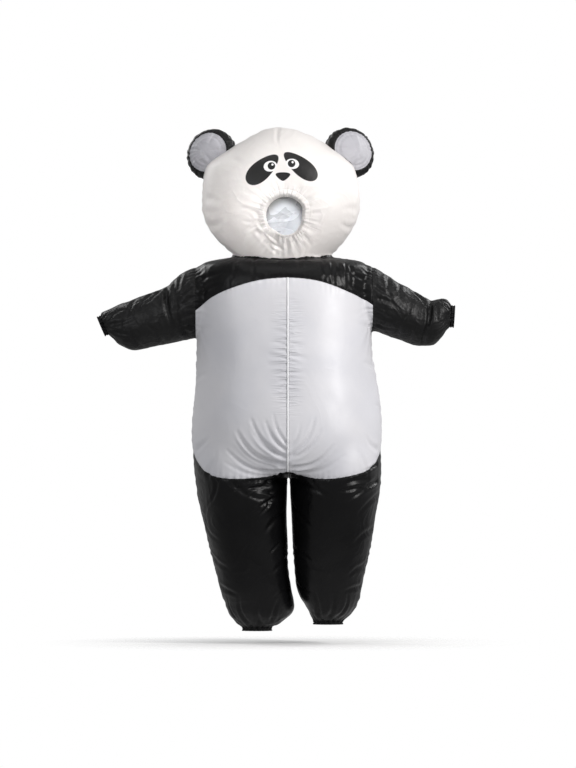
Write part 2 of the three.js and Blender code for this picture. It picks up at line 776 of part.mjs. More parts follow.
// A gathered ring a little way along from a mouth
function gatheredRing({ mouth, gathers }, along, inset) {
  const { middle, across, axis, other, halfAcross, halfOther } = mouth;
  const samples = gathers * 2;
  const ring = [];
  for (let i = 0; i < samples; i += 1) {
    const angle = (2 * Math.PI * i) / samples;
    const wave = CUFF_WAVE * Math.cos(gathers * angle) - inset;
    ring.push(middle.clone()
      .addScaledVector(across, (halfAcross + wave) * Math.cos(angle))
      .addScaledVector(other, (halfOther + wave) * Math.sin(angle))
      .addScaledVector(axis, along));
  }
  return ring;
}

// The open way through a mouth and its cuff
function boreOf(limb) {
  return solidOf(loft([
    gatheredRing(limb, -MOUTH_LENGTH, CLOTH),
    gatheredRing(limb, CUFF_LENGTH + MOUTH_LENGTH, CLOTH),
  ]));
}

const FILM_SEAT_Y = headFrontY(WINDOW_X, WINDOW_Z) + WINDOW_DIMPLE + RIM_DEPTH;

const head = makeHead();
const trunk = makeTrunk();
const rightSleeve = makeLimb(
  'rightSleeve',
  RIGHT_SLEEVE_ROWS.map((row) => leaningRing(row, SLEEVE_COLUMNS)),
  WRIST_GATHERS,
);
const leftSleeve = makeLimb(
  'leftSleeve',
  LEFT_SLEEVE_ROWS.map((row) => leaningRing(row, SLEEVE_COLUMNS)),
  WRIST_GATHERS,
);
const rightLeg = makeLimb(
  'rightLeg',
  RIGHT_LEG_ROWS.map((row) => levelRing(row, LEG_COLUMNS)),
  ANKLE_GATHERS,
);
const leftLeg = makeLimb(
  'leftLeg',
  LEFT_LEG_ROWS.map((row) => levelRing(row, LEG_COLUMNS)),
  ANKLE_GATHERS,
);
const ears = EARS.map((ear) => ({ ...ear, form: makeEar(ear) }));

// One skin round all the joined air spaces
const forms = [head, trunk, rightSleeve, leftSleeve, rightLeg, leftLeg];
const outside = forms.map((form) => form.outer).reduce((all, solid) => all.add(solid));
const airSpace = forms.map((form) => form.air).reduce((all, solid) => all.add(solid));
const skin = outside.subtract(airSpace);
const zipSkin = trunk.plain.outer.add(rightLeg.outer).add(leftLeg.outer)
  .subtract(trunk.plain.air.add(rightLeg.air).add(leftLeg.air));

// Regions that the seams divide the skin into
const frontHalf = block(
  new THREE.Vector3(-REACH, -REACH, -REACH),
  new THREE.Vector3(REACH, SIDE_SEAM_Y - SEAM_GAP / 2, REACH),
);
const backHalf = block(
  new THREE.Vector3(-REACH, SIDE_SEAM_Y + SEAM_GAP / 2, -REACH),
  new THREE.Vector3(REACH, REACH, REACH),
);
const rightArm = (gap) => block(
  new THREE.Vector3(-REACH, -REACH, RIGHT_ARMHOLE_BOTTOM_Z - gap),
  new THREE.Vector3(RIGHT_ARMHOLE_X + gap, REACH, REACH),
);
const leftArm = (gap) => block(
  new THREE.Vector3(LEFT_ARMHOLE_X - gap, -REACH, LEFT_ARMHOLE_BOTTOM_Z - gap),
  new THREE.Vector3(REACH, REACH, REACH),
);
const rightLegSide = (gap) => {
  const line = CROTCH_LINE.map((row) => new THREE.Vector2(row.x - gap, row.z));
  const top = new THREE.Vector2(-REACH, line[0].y);
  const low = new THREE.Vector2(-REACH, line[line.length - 1].y);
  return standingThrough(new THREE.Shape([top, ...line, low]), REACH);
};
const rightOf = (x) => block(
  new THREE.Vector3(-REACH, -REACH, -REACH),
  new THREE.Vector3(x, REACH, REACH),
);
const leftOf = (x) => block(
  new THREE.Vector3(x, -REACH, -REACH),
  new THREE.Vector3(REACH, REACH, REACH),
);
const aboveYokeEdge = beyondSeam(YOKE_EDGE, 1, 0);
const aboveYokeGap = beyondSeam(YOKE_EDGE, 1, -SLOPED_SEAM_GAP);
const belowBellyEdge = beyondSeam(BELLY_EDGE, -1, 0);
const belowBellyGap = beyondSeam(BELLY_EDGE, -1, SLOPED_SEAM_GAP);

// Panels
let headSkin = skin.intersect(head.outer);
for (const ear of ears) {
  headSkin = headSkin.subtract(ear.form.air);
}
const headFront = headSkin.intersect(frontHalf)
  .subtract(standingThrough(windowShape(RIM_WIDTH), REACH));
const headBack = headSkin.intersect(backHalf);

const body = skin.subtract(head.grown);
const sleeveRight = body.intersect(rightArm(0));
const sleeveLeft = body.intersect(leftArm(0));
const main = body.subtract(rightArm(SEAM_GAP)).subtract(leftArm(SEAM_GAP));
const yoke = main.intersect(aboveYokeEdge);
const belly = main.subtract(aboveYokeGap).subtract(belowBellyGap);
const legs = main.intersect(belowBellyEdge);
const bellyFront = belly.intersect(frontHalf);
const zipStrip = block(
  new THREE.Vector3(ZIP_X - ZIP_WIDTH / 2, -REACH, -REACH),
  new THREE.Vector3(ZIP_X + ZIP_WIDTH / 2, 0, REACH),
);
const zip = zipSkin.intersect(zipStrip).subtract(aboveYokeGap).subtract(belowBellyGap);

const panels = [
  { name: 'head_front', look: HEAD_WHITE, solid: headFront },
  { name: 'head_back', look: HEAD_WHITE, solid: headBack },
  { name: 'window_rim', look: HEAD_WHITE, solid: makeRim() },
  { name: 'window_film', look: CLEAR, solid: makeFilm() },
  { name: 'yoke_front', look: BLACK, solid: yoke.intersect(frontHalf) },
  { name: 'yoke_back', look: BLACK, solid: yoke.intersect(backHalf) },
  {
    name: 'belly_right',
    look: WHITE,
    solid: bellyFront.intersect(rightOf(ZIP_X - ZIP_WIDTH / 2 - SEAM_GAP)),
  },
  {
    name: 'belly_left',
    look: WHITE,
    solid: bellyFront.intersect(leftOf(ZIP_X + ZIP_WIDTH / 2 + SEAM_GAP)),
  },
  { name: 'front_zip', look: WHITE, solid: zip },
  { name: 'back_panel', look: WHITE, solid: belly.intersect(backHalf) },
  { name: 'sleeve_right_front', look: BLACK, solid: sleeveRight.intersect(frontHalf) },
  { name: 'sleeve_right_back', look: BLACK, solid: sleeveRight.intersect(backHalf) },
  { name: 'sleeve_left_front', look: BLACK, solid: sleeveLeft.intersect(frontHalf) },
  { name: 'sleeve_left_back', look: BLACK, solid: sleeveLeft.intersect(backHalf) },
  { name: 'wrist_cuff_right', look: BLACK, solid: makeCuff(rightSleeve) },
  { name: 'wrist_cuff_left', look: BLACK, solid: makeCuff(leftSleeve) },
  { name: 'leg_right', look: BLACK, solid: legs.intersect(rightLegSide(SEAM_GAP)) },
  { name: 'leg_left', look: BLACK, solid: legs.subtract(rightLegSide(0)) },
  { name: 'ankle_cuff_right', look: BLACK, solid: makeCuff(rightLeg) },
  { name: 'ankle_cuff_left', look: BLACK, solid: makeCuff(leftLeg) },
];

// Ears: a black rim and back, and a grey face inside its seam
for (const ear of ears) {
  const turn = turnOf(ear);
  const shell = ear.form.outer.subtract(ear.form.air).subtract(head.grown);
  const faceBlock = (from) => {
    const geometry = new THREE.BoxGeometry(EAR_BLOCK, EAR_BLOCK, EAR_BLOCK);
    geometry.translate(0, -from - EAR_BLOCK / 2, 0);
    geometry.applyMatrix4(new THREE.Matrix4().makeRotationFromEuler(turn));
    geometry.translate(ear.x, ear.y, ear.z);
    return solidFromGeometry(geometry);
  };
  panels.push({
    name: `ear_${ear.side}_face`,
    look: GREY,
    solid: shell.intersect(faceBlock(EAR_FACE_FROM)),
  });
  panels.push({
    name: `ear_${ear.side}_rim`,
    look: BLACK,
    solid: shell.subtract(faceBlock(EAR_FACE_FROM - SEAM_GAP)),
  });
}

const costume = new THREE.Group();
for (const panel of panels) {
  const material = new THREE.MeshStandardMaterial(panel.look);
  const mesh = new THREE.Mesh(geometryFromSolid(panel.solid), material);
  mesh.name = panel.name;
  costume.add(mesh);
}

export default costume;
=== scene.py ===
"""Inflatable panda costume: cloth, film, zip and cuffs, finished over the CAD frame.

Tables are in millimetres and everything in Blender is in metres. The face looks along -Y.
"""

import math

import bpy
import numpy as np
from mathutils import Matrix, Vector
from mathutils.bvhtree import BVHTree


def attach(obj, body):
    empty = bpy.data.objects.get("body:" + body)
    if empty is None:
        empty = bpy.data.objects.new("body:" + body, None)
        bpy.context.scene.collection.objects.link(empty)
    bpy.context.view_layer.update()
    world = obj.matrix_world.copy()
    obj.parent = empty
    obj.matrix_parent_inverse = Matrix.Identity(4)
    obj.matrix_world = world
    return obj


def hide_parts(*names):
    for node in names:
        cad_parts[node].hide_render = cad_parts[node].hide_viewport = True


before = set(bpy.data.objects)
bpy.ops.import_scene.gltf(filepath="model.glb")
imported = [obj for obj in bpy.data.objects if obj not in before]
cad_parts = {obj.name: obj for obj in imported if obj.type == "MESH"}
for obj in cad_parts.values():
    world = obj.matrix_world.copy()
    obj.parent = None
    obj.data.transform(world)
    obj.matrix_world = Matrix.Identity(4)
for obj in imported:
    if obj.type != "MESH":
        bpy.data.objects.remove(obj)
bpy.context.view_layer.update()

MM = 0.001
VOXEL = 5.7 * MM  # grid of the skin before it is relaxed
CLOTH = 0.8 * MM  # wall of every cloth piece
SEAM = 0.2 * MM  # half the gap between two pieces
FLOOR_Z = -1.414
SQUARENESS = 0.9  # of the level rings: 1 is an ellipse, less is squarer
NO_SEAM = 0.1  # a distance that is far from any seam

# Shape tables
# z, left, right, front, back
HEAD = [
    (523, -34, -32, 1, 1),
    (519, -56, -11, 26, 26),
    (509, -92, 35, 84, 78),
    (482, -143, 99, 142, 134),
    (446, -203, 158, 184, 173),
    (400, -272, 224, 219, 205),
    (368, -303, 254, 235, 220),
    (316, -313, 266, 248, 232),
    (260, -316, 273, 252, 238),
    (210, -316, 271, 247, 235),
    (165, -303, 258, 236, 226),
    (120, -278, 234, 218, 210),
    (79, -244, 202, 196, 192),
    (30, -188, 154, 164, 168),
    (-8, -154, 120, 142, 150),
]
TRUNK = [
    (33, -184, 158, 132, 130),
    (22, -268, 249, 170, 166),
    (4, -322, 297, 199, 194),
    (-30, -338, 314, 224, 216),
    (-90, -340, 318, 243, 231),
    (-180, -340, 318, 259, 241),
    (-340, -338, 322, 284, 253),
    (-500, -351, 344, 308, 266),
    (-610, -362, 356, 320, 278),
    (-672, -360, 355, 318, 281),
    (-712, -352, 349, 308, 276),
    (-748, -332, 331, 287, 261),
    (-776, -292, 290, 250, 234),
    (-791, -224, 222, 186, 178),
]
RIGHT_LEG = [
    (-638, -332, -30, 230, 208),
    (-709, -352, -4, 270, 244),
    (-829, -341, 0, 266, 240),
    (-930, -322, -2, 244, 224),
    (-1028, -300, 2, 222, 206),
    (-1121, -276, 6, 198, 186),
    (-1215, -251, 17, 170, 162),
    (-1264, -232, 26, 148, 142),
    (-1294, -222, 22, 132, 127),
    (-1318, -208, -2, 106, 104),
    (-1337, -189, -29, 80, 78),
    (-1354, -166, -58, 54, 54),
    (-1370, -163, -61, 51, 51),
]
LEFT_LEG = [
    (-638, 34, 330, 230, 208),
    (-709, 15, 351, 270, 244),
    (-829, 13, 348, 266, 240),
    (-930, 17, 336, 242, 224),
    (-1028, 21, 322, 220, 206),
    (-1121, 25, 301, 194, 186),
    (-1196, 34, 283, 168, 160),
    (-1241, 50, 270, 146, 141),
    (-1271, 70, 258, 126, 122),
    (-1295, 84, 244, 104, 101),
    (-1314, 93, 225, 78, 76),
    (-1330, 100, 208, 54, 54),
    (-1346, 103, 205, 51, 51),
]
# top x, top z, low x, low z, half depth
RIGHT_SLEEVE = [
    (-244, 11, -244, -248, 118),
    (-308, 6, -304, -262, 124),
    (-386, -24, -379, -279, 122),
    (-431, -56, -412, -287, 112),
    (-450, -78, -431, -291, 108),
    (-540, -111, -518, -309, 104),
    (-600, -134, -570, -318, 96),
    (-649, -154, -604, -311, 82),
    (-679, -166, -634, -292, 66),
    (-694, -175, -654, -272, 50),
    (-700, -188, -671, -256, 37),
    (-714, -194, -685, -262, 36),
]
LEFT_SLEEVE = [
    (221, 22, 221, -225, 114),
    (319, -1, 326, -246, 122),
    (364, -27, 360, -257, 118),
    (424, -62, 409, -272, 110),
    (480, -95, 450, -285, 100),
    (525, -120, 488, -294, 92),
    (541, -130, 514, -295, 86),
    (560, -123, 544, -295, 86),
    (585, -120, 572, -276, 78),
    (602, -125, 591, -253, 62),
    (611, -136, 603, -238, 48),
    (617, -150, 612, -228, 38),
    (632, -151, 627, -229, 37),
]
# along the ear's own axis, radius
EAR = [(-52, 34), (-40, 72), (-14, 95), (14, 96), (33, 85), (42, 71), (48, 34), (49, 1)]
# side, x, y, z, yaw, tilt
EARS = [
    ("right", -281, 22, 417, -25, 14),
    ("left", 232, 22, 423, 25, 14),
]
EAR_FACE_FROM, EAR_FACE_ROUND, EAR_SEAM_AT = 40, 73.5, 4
# creases of an ear's face: start, end, depth
EAR_CREASES = [
    (30, -66, -24, -34, 5), (40, -50, 4, -20, 4), (-30, -62, -10, -24, 3), (66, 10, 24, 4, 4),
    (-62, 14, -30, 4, 3), (16, 66, 8, 34, 3),
]

YOKE_EDGE = [
    (-420, -228), (-338, -165), (-278, -118), (-210, -86), (-109, -56), (4, -45),
    (124, -58), (232, -98), (281, -122), (322, -150), (410, -214),
]
BELLY_EDGE = [
    (-439, -638), (-371, -675), (-354, -694), (-338, -735), (-313, -765), (-274, -786),
    (-221, -795), (-158, -795), (-94, -791), (-38, -782), (4, -771), (49, -784),
    (109, -795), (161, -795), (202, -791), (262, -778), (308, -761), (334, -731),
    (349, -694), (364, -675), (424, -638),
]
CROTCH_LINE = [(6, -600), (6, -829), (12, -1028), (16, -1121), (24, -1196), (46, -1264), (46, -1500)]
RIGHT_ARMHOLE_X, LEFT_ARMHOLE_X = -342, 320.5
RIGHT_ARMHOLE_LOW, LEFT_ARMHOLE_LOW = -350, -305
ARMHOLE_END_Z = -360
SIDE_SEAM_Y = 2
# middles and radii that seams are measured round
ARM_Z, ARM_ROUND = -128, 125
NECK_X, NECK_Z, NECK_ROUND = -20, 27, 170
ZIP_X, ZIP_WIDTH = 3, 9
MOUTH_ZONE = 0.12  # all of a mouth lies within this of its middle, in metres
# mouth of each limb: top or one edge, the other edge, half depth, gathers
MOUTHS = {
    "right_wrist": ((-700, -188), (-671, -256), 37, 16),
    "left_wrist": ((617, -150), (612, -228), 38, 16),
    "right_ankle": ((-166, -1354), (-58, -1354), 54, 18),
    "left_ankle": ((208, -1330), (100, -1330), 54, 18),
}

WINDOW_X, WINDOW_Z = -9, 184
WINDOW_EDGE = [72, 81, 79, 78, 77, 77, 76, 76, 72, 79, 79, 74]
RIM_WIDTH, RIM_DEPTH = 20, 26
WINDOW_DIMPLE, WINDOW_REACH = 12, 60
# creases of the film: start, end, depth
FILM_CREASES = [
    (-70, 170, 40, 205, 4), (-58, 138, 30, 190, 3.5), (-20, 116, 14, 178, 3), (-60, 214, 10, 180, -3),
]

# Creases, listed by the side they are seen from: F front, B back, L the costume's left
# or R right. Each row: where it starts deep, where it dies out, half width, and depth, which
# is below 0 for a ridge.
CREASES = [
    # head, below and beside the window
    ("F", [
        (-112, 160, -22, 60, 7, 18), (-98, 134, -14, 66, 6, -8), (-96, 118, -8, 52, 6, 16),
        (-118, 128, -30, 34, 7, 9), (-104, 176, -176, 214, 8, 6), (-106, 160, -172, 166, 8, 5),
        (-108, 148, -158, 118, 8, 6), (-60, 78, -96, 34, 8, 4), (-34, 66, -52, 28, 8, 5),
        (0, 74, 4, 30, 8, 5), (30, 84, 44, 40, 8, 4), (62, 104, 92, 66, 9, 4),
        (84, 140, 128, 120, 9, 3), (92, 190, 140, 198, 9, 3), (78, 238, 122, 268, 9, 3),
        (44, 280, 58, 312, 8, 3), (-12, 286, -10, 316, 8, 3), (-50, 276, -68, 306, 8, 3),
        (-92, 242, -136, 262, 9, 3), (-32, 520, -27, 420, 7, 4),
    ]),
    ("B", [
        (-30, 505, -24, 330, 9, 4),
    ]),
    # head, sides and back
    ("F", [
        (-300, 250, -248, 236, 13, 4), (-306, 205, -252, 206, 12, 3), (-290, 150, -236, 170, 13, 4),
        (262, 210, 206, 206, 12, 3), (246, 140, 196, 160, 12, 4), (-200, 396, -150, 372, 12, 3),
        (150, 404, 110, 376, 12, 3),
    ]),
    ("B", [
        (250, 230, 190, 220, 13, 4), (240, 130, 180, 160, 13, 4), (-290, 220, -230, 214, 13, 4),
        (-270, 120, -210, 150, 13, 4), (-60, 50, -80, 130, 12, 4), (60, 48, 84, 120, 12, 4),
    ]),
    # belly, near its edges
    ("F", [
        (-342, -690, -286, -640, 11, 4), (340, -690, 290, -634, 11, 4),
        (-300, -775, -262, -690, 11, 4), (296, -768, 262, -684, 11, 4),
        (-338, -420, -296, -404, 12, 3), (322, -380, 280, -364, 12, 3),
        (-336, -240, -280, -226, 11, 3), (316, -230, 262, -214, 11, 3),
    ]),
    # back panel
    ("B", [
        (4, -752, -160, -590, 13, 7), (10, -748, 170, -600, 13, 7), (0, -700, -70, -560, 11, 5),
        (8, -700, 84, -566, 11, 5), (-336, -500, -270, -480, 13, 4), (330, -470, 268, -452, 13, 4),
        (-330, -250, -262, -232, 12, 4), (312, -240, 250, -226, 12, 4),
        (-120, -60, -110, -150, 12, 3), (130, -64, 118, -150, 12, 3),
    ]),
    ("L", [
        (-10, -560, -110, -520, 12, 4), (20, -400, 110, -380, 12, 4),
    ]),
    ("R", [
        (-10, -560, 100, -520, 12, 4), (10, -420, -110, -390, 12, 4),
    ]),
    # yoke
    ("F", [
        (-330, -60, -240, -30, 9, 5), (-320, -110, -236, -70, 8, 4), (308, -54, 236, -24, 9, 5),
        (300, -104, 232, -58, 8, 5), (170, 18, 176, -64, 8, 4), (206, 14, 216, -70, 7, -4),
        (240, 0, 246, -84, 8, 4), (140, 20, 150, -40, 7, 3), (-190, 20, -204, -54, 8, 3),
        (-120, 24, -128, -40, 8, 3), (40, 22, 44, -30, 8, 2.5),
    ]),
    ("B", [
        (200, 10, 190, -70, 9, 4), (-220, 10, -206, -74, 9, 4), (-60, 20, -56, -36, 9, 3),
        (90, 20, 84, -44, 9, 3), (-320, -80, -240, -52, 9, 4), (300, -80, 236, -50, 9, 4),
    ]),
    # right sleeve
    ("F", [
        (-448, -76, -428, -226, 10, 13), (-424, -50, -410, -180, 9, 8),
        (-394, -32, -396, -150, 9, 7), (-372, -258, -412, -176, 10, 8),
        (-352, -70, -420, -120, 9, 6), (-350, -120, -430, -176, 9, 6),
        (-350, -180, -420, -216, 9, 6), (-352, -226, -410, -246, 8, 5),
        (-470, -88, -540, -150, 9, 6), (-462, -292, -530, -214, 9, 6),
        (-500, -104, -560, -176, 8, 5), (-540, -306, -590, -232, 9, 6),
        (-566, -124, -600, -200, 8, 5), (-660, -220, -560, -190, 8, 6),
        (-668, -240, -580, -256, 8, 6), (-672, -204, -600, -164, 8, 5),
    ]),
    ("B", [
        (-450, -80, -440, -220, 10, 11), (-352, -110, -440, -160, 9, 6),
        (-352, -190, -430, -220, 9, 6), (-480, -96, -560, -190, 9, 6),
        (-480, -298, -556, -220, 9, 6), (-664, -220, -570, -200, 8, 6),
        (-400, -36, -404, -150, 9, 6),
    ]),
    # left sleeve
    ("F", [
        (538, -130, 520, -250, 9, 15), (552, -128, 560, -214, 7, 6), (470, -92, 532, -186, 9, 8),
        (506, -292, 534, -206, 9, 9), (330, -70, 402, -116, 9, 7), (330, -120, 420, -160, 9, 7),
        (330, -176, 410, -206, 9, 6), (334, -220, 400, -236, 8, 5), (380, -40, 396, -140, 9, 7),
        (420, -64, 450, -150, 9, 6), (410, -268, 450, -180, 9, 7), (454, -284, 490, -214, 8, 6),
        (606, -190, 552, -176, 7, 5), (600, -226, 556, -250, 7, 5),
    ]),
    ("B", [
        (536, -130, 524, -250, 9, 13), (470, -94, 520, -186, 9, 7), (334, -110, 430, -150, 9, 6),
        (334, -190, 420, -210, 9, 6), (440, -282, 480, -200, 9, 6), (608, -190, 556, -180, 7, 5),
    ]),
    # right leg
    ("F", [
        (-14, -800, -170, -846, 10, 7), (-206, -806, -60, -872, 10, 7),
        (-20, -850, -150, -936, 10, 5), (-120, -800, -210, -850, 9, 5),
        (-262, -800, -300, -900, 9, 5), (-60, -800, -110, -840, 8, 5),
        (-8, -920, -90, -1010, 11, 5), (-310, -960, -250, -1030, 11, 4),
        (-286, -1080, -220, -1130, 11, 5), (6, -1090, -60, -1150, 10, 5),
        (-250, -1200, -180, -1230, 10, 5), (18, -1210, -50, -1240, 9, 5),
        (-150, -1330, -176, -1230, 8, 6), (-100, -1336, -104, -1220, 8, 6),
        (-60, -1330, -30, -1240, 8, 6), (-190, -1320, -220, -1240, 8, 5),
    ]),
    ("B", [
        (-20, -820, -170, -880, 11, 6), (-230, -810, -100, -890, 11, 6),
        (-30, -960, -120, -1040, 11, 5), (-290, -1040, -220, -1100, 11, 5),
        (-60, -1150, -150, -1200, 10, 5), (-120, -1336, -130, -1220, 8, 6),
        (-170, -1330, -200, -1240, 8, 6),
    ]),
    ("R", [
        (10, -860, -120, -940, 11, 5), (-10, -1100, 90, -1150, 11, 5),
    ]),
    ("F", [
        (-60, -806, -150, -812, 8, 8), (-62, -826, -196, -830, 8, 10),
        (-54, -848, -150, -858, 7, 9), (-50, -868, -124, -902, 7, 8), (-64, -888, -104, -930, 6, 7),
        (-28, -1036, -66, -1074, 6, 6),
    ]),
    # left leg
    ("F", [
        (282, -826, 188, -842, 7, 8), (338, -806, 300, -830, 7, 7), (338, -742, 280, -768, 7, 7),
        (336, -800, 214, -884, 10, 8), (300, -796, 180, -838, 9, 6), (30, -808, 150, -862, 10, 6),
        (344, -850, 262, -930, 10, 5), (90, -802, 140, -850, 8, 4), (22, -900, 96, -980, 11, 5),
        (330, -980, 250, -1040, 11, 5), (26, -1060, 100, -1120, 11, 5),
        (300, -1120, 230, -1160, 10, 5), (36, -1190, 100, -1220, 9, 5),
        (276, -1200, 214, -1216, 9, 5), (120, -1306, 100, -1210, 8, 6),
        (160, -1312, 164, -1200, 8, 6), (196, -1308, 226, -1220, 8, 6),
    ]),
    ("B", [
        (30, -820, 170, -890, 11, 6), (300, -806, 190, -880, 11, 6), (40, -980, 130, -1060, 11, 5),
        (320, -1020, 240, -1090, 11, 5), (80, -1160, 170, -1200, 10, 5),
        (150, -1310, 150, -1200, 8, 6), (190, -1308, 214, -1220, 8, 6),
    ]),
    ("L", [
        (10, -880, 120, -960, 11, 5), (-10, -1060, -110, -1120, 11, 5),
    ]),
    # low belly, fanning up from the crotch: the last number is how far each bends
    ("F", [
        (-8, -774, -238, -730, 8, 5, 0.12), (-7, -764, -228, -684, 8, 9, 0.15),
        (-40, -752, -196, -650, 6, 6, 0.12), (-4, -742, -190, -612, 10, 11, 0.16),
        (-30, -706, -138, -600, 6, 6, 0.12), (-3, -716, -136, -566, 9, 9, 0.13),
        (-2, -692, -82, -572, 8, 7, 0.10), (-1, -666, -52, -548, 6, 6, 0.08),
        (14, -769, 216, -704, 9, 4, -0.13), (12, -754, 176, -664, 9, 8, -0.15),
        (30, -716, 128, -606, 7, 6, -0.10), (10, -716, 104, -566, 8, 8, -0.10),
        (8, -684, 50, -588, 7, 4, -0.08),
    ]),
]


# Lofted forms
def smooth_rows(rows, steps):
    """More rows, on a smooth curve through the table's own."""
    table = np.array(rows, float) * MM
    padded = np.vstack([2 * table[0] - table[1], table, 2 * table[-1] - table[-2]])
    t = np.linspace(0, 1, steps, endpoint=False)[:, None]
    out = []
    for i in range(len(table) - 1):
        a, b, c, d = padded[i : i + 4]
        out.append(
            0.5
            * (
                2 * b
                + (c - a) * t
                + (2 * a - 5 * b + 4 * c - d) * t**2
                + (3 * b - a - 3 * c + d) * t**3
            )
        )
    return np.vstack([*out, table[-1:]])


def softened(value):
    """Sine or cosine of a ring that is a little squarer than an ellipse."""
    return np.sign(value) * np.abs(value) ** SQUARENESS


def level_rings(rows, columns=160, steps=8):
    """Level rings through a table of z, left, right, front and back."""
    z, left, right, front, back = smooth_rows(rows, steps).T[:, :, None]
    angle = 2 * np.pi * (np.arange(columns) + 0.5) / columns
    c, s = softened(np.cos(angle)), softened(np.sin(angle))
    depth = np.where(s > 0, back, front)
    x = (left + right) / 2 + (right - left) / 2 * c
    return np.stack([x, depth * s, z + 0 * x], 2)


def leaning_rings(rows, columns=120, steps=8):
    """Upright rings through a table of top, low edge and half depth."""
    top_x, top_z, low_x, low_z, deep = smooth_rows(rows, steps).T[:, :, None]
    angle = 2 * np.pi * np.arange(columns) / columns
    up = 0.5 + 0.5 * np.sin(angle)
    x = low_x + (top_x - low_x) * up
    return np.stack([x, deep * np.cos(angle) + 0 * x, low_z + (top_z - low_z) * up], 2)


def closed_loft(rings):
    """Points and faces of a closed tube through the rings, facing outwards."""
    count, columns = rings.shape[:2]
    points = np.vstack([rings.reshape(-1, 3), rings[0].mean(0), rings[-1].mean(0)])
    i = np.arange(columns)
    n = (i + 1) % columns
    faces = []
    for r in range(count - 1):
        a = r * columns
        faces += np.stack([a + i, a + n, a + columns + n, a + columns + i], 1).tolist()
    first, last = count * columns, count * columns + 1
    end = (count - 1) * columns
    faces += [[int(n[k]), int(k), first] for k in i]
    faces += [[int(end + k), int(end + n[k]), last] for k in i]
    p = points
    volume = sum(
        float(np.dot(p[f[0]], np.cross(p[f[1]], p[f[2]]))) for f in faces[:: max(1, len(faces) // 4000)]
    )
    if volume < 0:
        faces = [f[::-1] for f in faces]
    return points, faces


def mesh_object(name, points, faces):
    mesh = bpy.data.meshes.new(name)
    mesh.from_pydata([tuple(p) for p in points], [], [tuple(f) for f in faces])
    obj = bpy.data.objects.new(name, mesh)
    bpy.context.scene.collection.objects.link(obj)
    return obj


def only(obj):
    """Selects this object alone."""
    bpy.ops.object.select_all(action="DESELECT")
    obj.select_set(True)
    bpy.context.view_layer.objects.active = obj


def apply_all(obj):
    only(obj)
    for modifier in list(obj.modifiers):
        bpy.ops.object.modifier_apply(modifier=modifier.name)


def triangles_of(obj):
    mesh = obj.data
    points = np.zeros(len(mesh.vertices) * 3, np.float32)
    mesh.vertices.foreach_get("co", points)
    mesh.calc_loop_triangles()
    faces = np.zeros(len(mesh.loop_triangles) * 3, np.int32)
    mesh.loop_triangles.foreach_get("vertices", faces)
    return points.reshape(-1, 3).astype(float), faces.reshape(-1, 3)


def one_skin():
    """One closed skin round head, trunk, sleeves and legs."""
    points, faces = [], []
    forms = [level_rings(t) for t in (HEAD, TRUNK, RIGHT_LEG, LEFT_LEG)]
    forms += [leaning_rings(t) for t in (RIGHT_SLEEVE, LEFT_SLEEVE)]
    start = 0
    for rings in forms:
        p, f = closed_loft(rings)
        points.append(p)
        faces += [[k + start for k in face] for face in f]
        start += len(p)
    obj = mesh_object("skin_form", np.vstack(points), faces)
    remesh = obj.modifiers.new("one skin", "REMESH")
    remesh.mode = "VOXEL"
    remesh.voxel_size = VOXEL
    apply_all(obj)
    return obj


def relaxed(points, edges, rounds, share=0.5):
    """Points drawn towards their neighbours, to take out the steps of the grid."""
    a, b = edges.T
    count = np.bincount(a, minlength=len(points)) + np.bincount(b, minlength=len(points))
    for _ in range(rounds):
        near = np.stack(
            [
                np.bincount(a, points[b, k], len(points)) + np.bincount(b, points[a, k], len(points))
                for k in range(3)
            ],
            1,
        )
        points = points + share * (near / count[:, None] - points)
    return points


def normals_of(points, faces):
    a, b, c = (points[faces[:, k]] for k in range(3))
    cross = np.cross(b - a, c - a)
    out = np.stack(
        [sum(np.bincount(faces[:, k], cross[:, j], len(points)) for k in range(3)) for j in range(3)], 1
    )
    return out / np.maximum(np.linalg.norm(out, axis=1, keepdims=True), 1e-12)


# Heights
def soft_noise(points, size, seed):
    """Smooth noise from -1 to 1, with lumps of this size in metres."""
    n = 24
    grid = np.random.default_rng(seed).uniform(-1, 1, (n, n, n))
    p = points / (np.array(size) if np.ndim(size) else size) + 100.0
    low = np.floor(p).astype(int)
    f = p - low
    f = f * f * (3 - 2 * f)
    total = np.zeros(len(points))
    for dx in (0, 1):
        for dy in (0, 1):
            for dz in (0, 1):
                weight = (
                    np.where(dx, f[:, 0], 1 - f[:, 0])
                    * np.where(dy, f[:, 1], 1 - f[:, 1])
                    * np.where(dz, f[:, 2], 1 - f[:, 2])
                )
                corner = (low + (dx, dy, dz)) % n
                total += weight * grid[corner[:, 0], corner[:, 1], corner[:, 2]]
    return total * 1.5


def ridges(points, size, seed):
    """Sharp-topped creases that wander, from 0 to 1."""
    return np.clip(1 - np.abs(soft_noise(points, size, seed)) * 2.2, 0, 1) ** 2


def on_ring(angle):
    """Places on a unit ring, for noise that closes round it."""
    return np.stack([np.cos(angle), np.sin(angle), 0 * angle], 1)


def from_line(p, x1, z1, x2, z2):
    """Distance from a straight line drawn from the front, and how far along it, from 0 to 1."""
    a, b = np.array([x1, 0, z1]) * MM, np.array([x2, 0, z2]) * MM
    t = np.clip((p - a) @ (b - a) / ((b - a) @ (b - a)), 0, 1)
    return np.linalg.norm(p - a - t[:, None] * (b - a), axis=1), t


def step(low, high, value):
    t = np.clip((value - low) / (high - low), 0, 1)
    return t * t * (3 - 2 * t)


def line_at(table, x):
    """Height of a seam drawn from the front, at these x."""
    return np.interp(x, *smooth_rows(table, 6).T)


def edge_gap(table, p):
    """Distance from a seam drawn from the front, and the length along it."""
    x, near = p[:, 0], 0.004
    slope = (line_at(table, x + near) - line_at(table, x - near)) / (2 * near)
    return np.abs(p[:, 2] - line_at(table, x)) / np.sqrt(1 + slope**2), x


